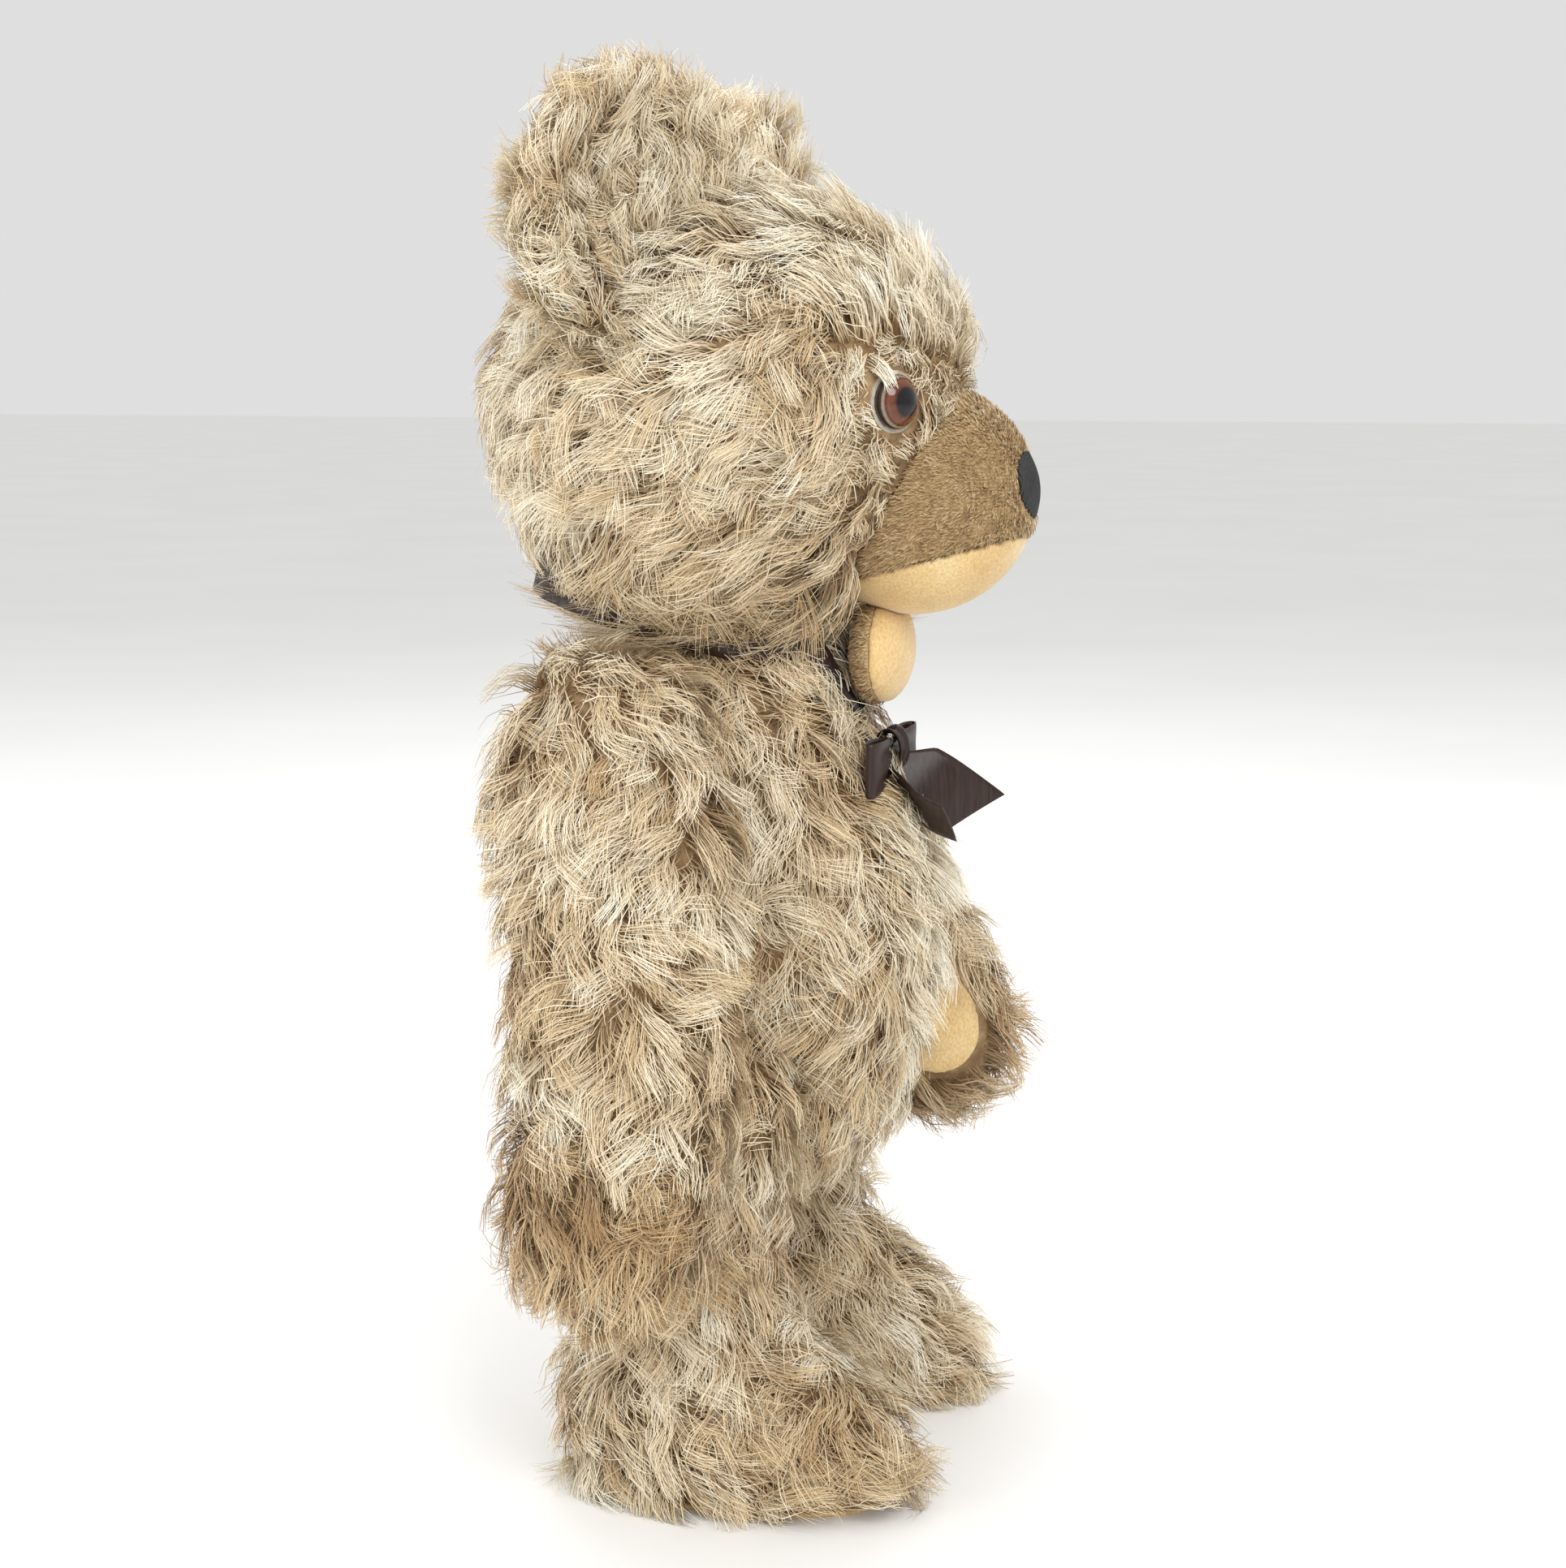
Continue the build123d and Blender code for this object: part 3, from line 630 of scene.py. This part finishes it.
def makeNapMaterial():
    # Clipped pile: the same strand map, in khaki browns.
    material, tree, shader = startMaterial("clippedPile")
    strandMap = tree.nodes.new("ShaderNodeUVMap")
    strandMap.uv_map = "OFBake"
    split = tree.nodes.new("ShaderNodeSeparateXYZ")
    tree.links.new(strandMap.outputs["UV"], split.inputs["Vector"])
    rootTone = addRamp(tree, split.outputs["X"], [(0.0, (0.20, 0.105, 0.040)), (1.0, (0.52, 0.38, 0.20))])
    tipTone = addRamp(tree, split.outputs["X"], [(0.0, (0.28, 0.155, 0.060)), (0.5, (0.54, 0.365, 0.165)),
                                                 (1.0, (0.78, 0.64, 0.41))])
    toned = addMix(tree, split.outputs["Y"], rootTone, tipTone)
    tree.links.new(toned, shader.inputs["Base Color"])
    shader.inputs["Roughness"].default_value = 0.7
    shader.inputs["Sheen Weight"].default_value = 0.2
    return material


def addWeave(tree, pitch):
    # Crossed threads: two waves in the piece's own width and height.
    place = tree.nodes.new("ShaderNodeTexCoord")
    waves = []
    for direction in ("X", "Z"):
        wave = tree.nodes.new("ShaderNodeTexWave")
        wave.bands_direction = direction
        wave.inputs["Scale"].default_value = 0.314 / pitch
        wave.inputs["Distortion"].default_value = 1.2
        wave.inputs["Detail"].default_value = 2.0
        tree.links.new(place.outputs["Object"], wave.inputs["Vector"])
        waves.append(wave.outputs["Fac"])
    both = tree.nodes.new("ShaderNodeMath")
    both.operation = "MULTIPLY"
    tree.links.new(waves[0], both.inputs[0])
    tree.links.new(waves[1], both.inputs[1])
    return both.outputs["Value"]


def makeSnoutMaterial():
    material, tree, shader = startMaterial("wovenSnout")
    weave = addWeave(tree, 0.0011)
    mottle = addNoise(tree, 120.0, 4.0)
    tone = addRamp(tree, mottle, [(0.3, (0.26, 0.155, 0.065)), (0.7, (0.48, 0.32, 0.15))])
    toned = addMix(tree, weave, tone, (0.58, 0.43, 0.22))
    tree.links.new(toned, shader.inputs["Base Color"])
    shader.inputs["Roughness"].default_value = 0.9
    addBump(tree, shader, weave, 0.7, 0.0003)
    return material


def makeFeltMaterial():
    material, tree, shader = startMaterial("peachFelt")
    cloud = addNoise(tree, 45.0, 3.0)
    base = addRamp(tree, cloud, [(0.3, (0.70, 0.47, 0.20)), (0.55, (0.79, 0.57, 0.27)),
                                 (0.75, (0.84, 0.64, 0.35))])
    fibre = addNoise(tree, 1400.0, 4.0, (1.0, 1.0, 0.6))
    flecks = addRamp(tree, fibre, [(0.35, (0.72, 0.66, 0.56)), (0.6, (1.0, 1.0, 1.0))])
    toned = addMix(tree, 0.75, base, flecks, "MULTIPLY")
    tree.links.new(toned, shader.inputs["Base Color"])
    shader.inputs["Roughness"].default_value = 0.92
    shader.inputs["Sheen Weight"].default_value = 0.35
    shader.inputs["Sheen Roughness"].default_value = 0.5
    addBump(tree, shader, fibre, 0.55, 0.0003)
    return material


clippedPile = makeNapMaterial()
wovenSnout = makeSnoutMaterial()
peachFelt = makeFeltMaterial()

facePieces = {
    "snoutSkin": {"node": "muzzle", "voxel": 0.0014, "material": wovenSnout, "slot": "short_pile"},
    "palateFelt": {"node": "upper_mouth_felt", "voxel": 0.0012, "material": peachFelt, "slot": "felt"},
    "jawFelt": {"node": "lower_jaw_felt", "voxel": 0.001, "material": peachFelt, "slot": "felt"},
    "jawPile": {"node": "lower_jaw_plush", "voxel": 0.001, "material": wovenSnout, "slot": "short_pile"},
}


def makeFacePiece(name, facts):
    piece = copyNode(facts["node"], name)
    even = piece.modifiers.new("even", "REMESH")
    even.mode = "VOXEL"
    even.voxel_size = facts["voxel"]
    soften = piece.modifiers.new("soften", "SMOOTH")
    soften.iterations = 4
    soften.factor = 0.5
    applyModifiers(piece)
    setMaterial(piece, facts["material"])
    bpy.ops.object.shade_smooth()
    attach(piece, "head")
    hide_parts(facts["node"])
    return piece


face = {}
for pieceName, pieceFacts in facePieces.items():
    face[pieceName] = makeFacePiece(pieceName, pieceFacts)
print("face pieces made")

napCoat = {"length": 0.0016, "lift": 0.95, "droop": 0.2, "lean": 0.5, "curl": 0.0001, "turns": 0.5,
           "gather": 0.1, "strandsPerLock": 8, "width": 0.00034, "tip": 0.5, "points": 3, "stray": 0.2,
           "turnLock": 0.3, "turnStrand": 0.3, "swirl": 0.2}


def keepSnout(places, facing):
    inHead = ((places - headMiddle) / headReach)
    noseAway = (places - noseMiddle) / np.array([0.0125, 0.012, 0.0105])
    clear = ((inHead ** 2).sum(axis=1) > 0.98) & ((noseAway ** 2).sum(axis=1) > 1.0)
    return clear & (facing[:, 2] > -0.97)


def combSnout(places, facing):
    return np.tile(np.array([0.0, 0.8, -0.25]), (len(places), 1))


def snoutTone(places):
    # Paler over the bridge and round the nose, browner on the sides.
    up = np.clip((places[:, 2] - 0.322) / 0.018, 0.0, 1.0)
    nearNose = np.clip(1.0 - np.linalg.norm(places - noseMiddle, axis=1) / 0.022, 0.0, 1.0)
    return 0.44 + 0.45 * up + 0.5 * nearNose + 0.12 * blotches(places, 0.02, 17)


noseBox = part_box("nose_stitching")
noseMiddle = np.array((noseBox[0] + noseBox[1]) * 0.5)


def growNap(name, skin, count, tone, keep, comb, seed):
    strands = growCoat(name, skin, "head", count, comb, tone, keep, facts=napCoat, seed=seed)[0]
    setMaterial(strands, clippedPile)


growNap("snoutNap", face["snoutSkin"], strandCounts["snout"], snoutTone, keepSnout, combSnout, 61)


def keepJaw(places, facing):
    return facing[:, 1] > -0.6


growNap("jawNap", face["jawPile"], strandCounts["jaw"], snoutTone, keepJaw, combSnout, 62)

# Nose of upright satin stitches.

noseFacts = {"threads": 25, "halfWidth": 0.0120, "halfHeight": 0.0100, "threadRadius": 0.00062,
             "stand": 0.0012}
snoutFacts = {"wide": 0.034, "long": 0.038, "high": 0.036, "middle": 0.308}


def snoutSurface(x, z, stand):
    # The y of the snout's rounded front at this place.
    level = 1.0 - (x / snoutFacts["wide"]) ** 2 - ((z - snoutFacts["middle"]) / snoutFacts["high"]) ** 2
    return snoutFront + snoutFacts["long"] - snoutFacts["long"] * np.sqrt(max(level, 0.01)) - stand


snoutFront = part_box("muzzle")[0].y


def makeThreadMaterial():
    material, tree, shader = startMaterial("noseThread")
    strand = addNoise(tree, 2600.0, 3.0, (1.0, 1.0, 0.15))
    tone = addRamp(tree, strand, [(0.3, (0.007, 0.007, 0.008)), (0.6, (0.022, 0.021, 0.022)),
                                  (0.8, (0.07, 0.066, 0.064))])
    tree.links.new(tone, shader.inputs["Base Color"])
    shader.inputs["Roughness"].default_value = 0.5
    addBump(tree, shader, strand, 0.5, 0.0002)
    return material


def makeNose():
    threads = bpy.data.curves.new("noseThreads", "CURVE")
    threads.dimensions = "3D"
    threads.bevel_depth = noseFacts["threadRadius"]
    threads.bevel_resolution = 2
    threads.use_fill_caps = True
    middle = noseMiddle[2]
    for row in range(noseFacts["threads"]):
        share = -1.0 + 2.0 * (row + 0.5) / noseFacts["threads"]
        x = share * noseFacts["halfWidth"]
        half = noseFacts["halfHeight"] * (1.0 - abs(share) ** 2.6) ** 0.5 * (0.97 + 0.05 * sin(row * 2.3))
        low = middle - half * (1.0 - 0.25 * abs(share))
        high = middle + half
        spline = threads.splines.new("NURBS")
        spline.points.add(6)
        for index in range(7):
            part = index / 6.0
            z = low + (high - low) * part
            swell = noseFacts["stand"] * (sin(pi * min(max(part, 0.04), 0.96)) ** 0.5) - 0.0003
            spline.points[index].co = (x, snoutSurface(x, z, swell), z, 1.0)
        spline.order_u = 3
        spline.use_endpoint_u = True
    nose = bpy.data.objects.new("noseStitches", threads)
    bpy.context.scene.collection.objects.link(nose)
    activate(nose)
    bpy.ops.object.convert(target="MESH")
    nose = bpy.context.active_object
    setMaterial(nose, makeThreadMaterial())
    bpy.ops.object.shade_smooth()
    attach(nose, "head")
    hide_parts("nose_stitching")


makeNose()
print("nose stitched")

# Glass eyes.


def addRadius(tree, middle, axis):
    # Distance from the eye's own axis, in metres.
    place = tree.nodes.new("ShaderNodeTexCoord")
    moved = tree.nodes.new("ShaderNodeVectorMath")
    moved.operation = "SUBTRACT"
    moved.inputs[1].default_value = middle
    crossed = tree.nodes.new("ShaderNodeVectorMath")
    crossed.operation = "CROSS_PRODUCT"
    crossed.inputs[1].default_value = axis
    size = tree.nodes.new("ShaderNodeVectorMath")
    size.operation = "LENGTH"
    tree.links.new(place.outputs["Object"], moved.inputs[0])
    tree.links.new(moved.outputs["Vector"], crossed.inputs[0])
    tree.links.new(crossed.outputs["Vector"], size.inputs[0])
    scaled = tree.nodes.new("ShaderNodeMath")
    scaled.operation = "DIVIDE"
    scaled.inputs[1].default_value = eyeFacts["radius"]
    tree.links.new(size.outputs["Value"], scaled.inputs[0])
    return scaled.outputs["Value"]


eyeFacts = {"radius": 0.008, "turn": 33.0}


def makeEyeMaterial(side):
    sign = 1.0 if side == "left" else -1.0
    turn = radians(eyeFacts["turn"])
    axis = (sign * sin(turn), -cos(turn), 0.0)
    material, tree, shader = startMaterial(f"{side}EyeGlass")
    reach = addRadius(tree, tuple(eyeMiddle[side]), axis)
    rings = addRamp(tree, reach, [(0.0, (0.004, 0.004, 0.005)), (0.50, (0.006, 0.005, 0.006)),
                                  (0.53, (0.04, 0.013, 0.007)), (0.62, (0.13, 0.042, 0.019)),
                                  (0.80, (0.18, 0.060, 0.028)), (0.87, (0.07, 0.022, 0.011)),
                                  (0.91, (0.30, 0.22, 0.16)), (0.95, (0.34, 0.26, 0.19)),
                                  (0.98, (0.03, 0.02, 0.015))])
    fibres = addNoise(tree, 700.0, 3.0)
    streaks = addRamp(tree, fibres, [(0.3, (0.72, 0.66, 0.62)), (0.65, (1.12, 1.08, 1.05))])
    toned = addMix(tree, 0.8, rings, streaks, "MULTIPLY")
    tree.links.new(toned, shader.inputs["Base Color"])
    shader.inputs["Roughness"].default_value = 0.12
    shader.inputs["Specular IOR Level"].default_value = 0.15
    shader.inputs["Coat Weight"].default_value = 0.55
    shader.inputs["Coat Roughness"].default_value = 0.02
    return material


def makeRimMaterial():
    material, tree, shader = startMaterial("eyeRim")
    tone = addRamp(tree, addNoise(tree, 500.0, 3.0), [(0.3, (0.42, 0.36, 0.28)), (0.7, (0.66, 0.60, 0.50))])
    tree.links.new(tone, shader.inputs["Base Color"])
    shader.inputs["Roughness"].default_value = 0.5
    addBump(tree, shader, addNoise(tree, 900.0), 0.3, 0.0002)
    return material


def dressNode(name, material):
    nodes[name].material_slots[0].material = material


eyeRim = makeRimMaterial()
for side in ("right", "left"):
    dressNode(f"{side}_eye_backing", eyeRim)
    glass = copyNode(f"{side}_eye_glass", f"{side}EyeGlass")
    setMaterial(glass, makeEyeMaterial(side))
    smoothShade(glass, 50)
    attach(glass, "head")
    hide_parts(f"{side}_eye_glass")
print("eyes painted")

# Felt pads on the paws and soles.


def makePad(node, body):
    pad = copyNode(node, node.split("_")[0] + node.split("_")[1].capitalize() + "Felt")
    even = pad.modifiers.new("even", "REMESH")
    even.mode = "VOXEL"
    even.voxel_size = 0.0009
    applyModifiers(pad)
    setMaterial(pad, peachFelt)
    bpy.ops.object.shade_smooth()
    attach(pad, body)
    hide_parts(node)
    return pad


for side in ("right", "left"):
    makePad(f"{side}_paw_pad", f"{side}_arm")
    makePad(f"{side}_foot_pad", f"{side}_leg")
print("felt pads made")

# Satin ribbon: band, bow and tails.

ribbonFacts = {"width": 0.019, "thickness": 0.0004, "bandTilt": 14.5, "bandDip": 0.028, "bowPinch": 0.42}


def makeSatinMaterial():
    material, tree, shader = startMaterial("brownSatin")
    ribs = addNoise(tree, 900.0, 2.0, (1.0, 1.0, 0.05))
    tone = addRamp(tree, ribs, [(0.3, (0.020, 0.010, 0.008)), (0.7, (0.046, 0.026, 0.021))])
    tree.links.new(tone, shader.inputs["Base Color"])
    shader.inputs["Roughness"].default_value = 0.36
    shader.inputs["Anisotropic"].default_value = 0.5
    shader.inputs["Specular IOR Level"].default_value = 0.3
    addBump(tree, shader, ribs, 0.25, 0.0001)
    return material


brownSatin = makeSatinMaterial()


def finishRibbon(strip, replaced):
    thick = strip.modifiers.new("cloth", "SOLIDIFY")
    thick.thickness = ribbonFacts["thickness"]
    thick.offset = 0.0
    applyModifiers(strip)
    bpy.ops.object.transform_apply(location=True, rotation=True, scale=True)
    setMaterial(strip, brownSatin)
    bpy.ops.object.shade_smooth()
    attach(strip, "torso")
    if replaced:
        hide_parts(replaced)


def makeStrip(name, steps, rows, placeAt):
    # A strip of cloth laid out by a function of its length and width, both from 0 to 1.
    bpy.ops.mesh.primitive_grid_add(x_subdivisions=steps, y_subdivisions=rows, size=1.0)
    strip = bpy.context.active_object
    strip.name = name
    for vert in strip.data.vertices:
        vert.co = placeAt(vert.co.x + 0.5, vert.co.y + 0.5)
    return strip


bandLow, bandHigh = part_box("ribbon_band")
bandMiddle = (bandLow + bandHigh) * 0.5


def bandPlace(along, across):
    turn = 2.0 * pi * along
    wide = bandHigh.x - 0.0004
    deep = (bandHigh.y - bandLow.y) * 0.5 - 0.0025
    wave = 0.0005 * sin(9.0 * turn + 1.0) + 0.0004 * sin(23.0 * turn)
    local = Vector(((wide + wave) * sin(turn), (deep + wave) * cos(turn),
                    (across - 0.5) * ribbonFacts["width"]))
    tilt = radians(ribbonFacts["bandTilt"])
    dip = exp(-(((turn - pi) / 0.42) ** 2))     # the front runs down to the knot
    return Vector((local.x * (1.0 - 0.2 * dip) + bandMiddle.x,
                   local.y * cos(tilt) - local.z * sin(tilt) + bandMiddle.y - 0.005 * dip,
                   local.z * cos(tilt) * (1.0 - 0.35 * dip) + local.y * sin(tilt)
                   + bandMiddle.z - ribbonFacts["bandDip"] * dip))


finishRibbon(makeStrip("neckBand", 200, 6, bandPlace), "ribbon_band")

bowLow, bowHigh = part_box("ribbon_bow")
bowMiddle = (bowLow + bowHigh) * 0.5


def loopPlace(side):
    def place(along, across):
        turn = 2.0 * pi * along
        out = 0.5 - 0.5 * cos(turn)
        narrow = ribbonFacts["bowPinch"] + (1.0 - ribbonFacts["bowPinch"]) * out ** 0.6
        depth = 0.0032 * sin(turn) * (0.35 + 0.65 * out)
        pleat = 0.0007 * sin(across * 4.0 * pi) * (1.0 - out)
        return Vector((side * (0.002 + 0.026 * out),
                       bowMiddle.y + depth + pleat,
                       bowMiddle.z - 0.003 * out + (across - 0.5) * 0.0170 * narrow))
    return place


for side, word in ((-1, "right"), (1, "left")):
    finishRibbon(makeStrip(f"{word}BowLoop", 48, 12, loopPlace(side)), "ribbon_bow" if side < 0 else None)


def knotPlace(along, across):
    turn = 2.0 * pi * along
    pleat = 0.0004 * sin(across * 5.0 * pi)
    pinch = 1.0 + 0.25 * (2.0 * across - 1.0) ** 2
    return Vector((bowMiddle.x + (across - 0.5) * 0.0115,
                   bowMiddle.y + (0.0036 * pinch + pleat) * sin(turn),
                   bowMiddle.z + (0.0058 * pinch + pleat) * cos(turn)))


finishRibbon(makeStrip("bowKnot", 40, 14, knotPlace), None)


def tailPlace(start, end, slant, droop, twist):
    run = Vector(end) - Vector(start)
    wide = run.cross(Vector((0.0, 1.0, 0.35))).normalized()
    lift = run.normalized().cross(wide)

    def place(along, across):
        reach = along * (1.0 - slant * (1.0 - across) * along)
        half = ribbonFacts["width"] * (0.28 + 0.72 * min(reach * 4.0, 1.0)) * 0.5
        sway = droop * sin(pi * reach) + 0.0006 * sin(7.0 * reach)
        turned = wide * cos(twist * reach) + lift * sin(twist * reach)
        return Vector(start) + run * reach + turned * ((across - 0.5) * 2.0 * half) + lift * sway
    return place


for side, word in ((-1, "right"), (1, "left")):
    tailLow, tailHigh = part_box(f"ribbon_tail_{word}")
    farX = abs(tailLow.x if side < 0 else tailHigh.x)
    tip = (side * (farX - 0.008), tailLow.y + 0.003, tailLow.z + 0.008)
    start = (side * 0.005, bowMiddle.y, bowMiddle.z - 0.004)
    finishRibbon(makeStrip(f"{word}Tail", 30, 10, tailPlace(start, tip, 0.26, 0.0035 * side, 0.5 * side)),
                 f"ribbon_tail_{word}")
print("ribbon tied")

# What lies inside the skins.


def makePlainMaterial(name, dark, pale, rough, scale, stretch=(1.0, 1.0, 1.0), metal=0.0, bump=0.4):
    material, tree, shader = startMaterial(name)
    grain = addNoise(tree, scale, 4.0, stretch)
    tree.links.new(addRamp(tree, grain, [(0.3, dark), (0.7, pale)]), shader.inputs["Base Color"])
    shader.inputs["Roughness"].default_value = rough
    shader.inputs["Metallic"].default_value = metal
    addBump(tree, shader, grain, bump, 0.0003)
    return material


woodWool = makePlainMaterial("woodWool", (0.42, 0.30, 0.15), (0.74, 0.62, 0.40), 0.85, 260.0,
                             (1.0, 0.25, 1.0))
pressedBoard = makePlainMaterial("pressedBoard", (0.22, 0.13, 0.06), (0.36, 0.24, 0.13), 0.8, 500.0)
drawnSteel = makePlainMaterial("drawnSteel", (0.36, 0.36, 0.37), (0.62, 0.62, 0.63), 0.35, 900.0,
                               (0.1, 1.0, 1.0), 1.0, 0.15)
for nodeName in nodes:
    if nodeName.endswith("_stuffing"):
        dressNode(nodeName, woodWool)
    elif nodeName.endswith("_disc"):
        dressNode(nodeName, pressedBoard)
    elif nodeName.endswith(("_washer", "_pin", "_shank")):
        dressNode(nodeName, drawnSteel)
print("inner pieces dressed")

# Camera, light and floor.

cameraFacts = {"azimuth": 286.0, "distance": 0.85, "height": 0.35, "aim": (0.0, -0.002, 0.2165),
               "lens": 61.9}
lightFacts = {
    "keyLight": {"place": (-1.3, -0.9, 1.5), "aim": (0.0, 0.0, 0.22), "size": 1.0, "power": 21.0},
    "fillLight": {"place": (-1.1, 1.1, 0.7), "aim": (0.0, 0.0, 0.2), "size": 1.4, "power": 9.0},
    "backLight": {"place": (1.0, 0.3, 1.6), "aim": (0.0, 0.0, 0.25), "size": 1.2, "power": 12.0},
}


def placeCamera():
    facts = cameraFacts
    turn = radians(facts["azimuth"])
    look = Vector((-sin(turn), cos(turn), 0.0))
    aim = Vector(facts["aim"])
    place = aim - look * facts["distance"]
    place.z = facts["height"]
    lensData = bpy.data.cameras.new("camera")
    lensData.lens = facts["lens"]
    lensData.sensor_width = 36.0
    camera = bpy.data.objects.new("camera", lensData)
    bpy.context.scene.collection.objects.link(camera)
    camera.location = place
    camera.rotation_euler = (aim - place).to_track_quat("-Z", "Y").to_euler()
    bpy.context.scene.camera = camera


placeCamera()


def placeLight(name, facts):
    lamp = bpy.data.lights.new(name, "AREA")
    lamp.shape = "DISK"
    lamp.size = facts["size"]
    lamp.energy = facts["power"]
    light = bpy.data.objects.new(name, lamp)
    bpy.context.scene.collection.objects.link(light)
    light.location = facts["place"]
    towards = Vector(facts["aim"]) - Vector(facts["place"])
    light.rotation_euler = towards.to_track_quat("-Z", "Y").to_euler()


for lightName, facts in lightFacts.items():
    placeLight(lightName, facts)
print("camera and light placed")
world = bpy.data.worlds.new("studio")
bpy.context.scene.world = world
world.use_nodes = True
world.node_tree.nodes["Background"].inputs["Color"].default_value = (1.0, 1.0, 1.0, 1.0)
world.node_tree.nodes["Background"].inputs["Strength"].default_value = 0.74
bpy.context.scene.view_settings.view_transform = "Standard"


def makeFloor():
    bpy.ops.mesh.primitive_plane_add(size=30.0, location=(0.0, 0.0, 0.0))
    floor = bpy.context.active_object
    floor.name = "floor"
    material, tree, shader = startMaterial("paleTable")
    mottle = addNoise(tree, 3.0, 2.0)
    tone = addRamp(tree, mottle, [(0.3, (0.92, 0.92, 0.91)), (0.7, (0.95, 0.95, 0.94))])
    tree.links.new(tone, shader.inputs["Base Color"])
    shader.inputs["Roughness"].default_value = 0.8
    setMaterial(floor, material)


makeFloor()
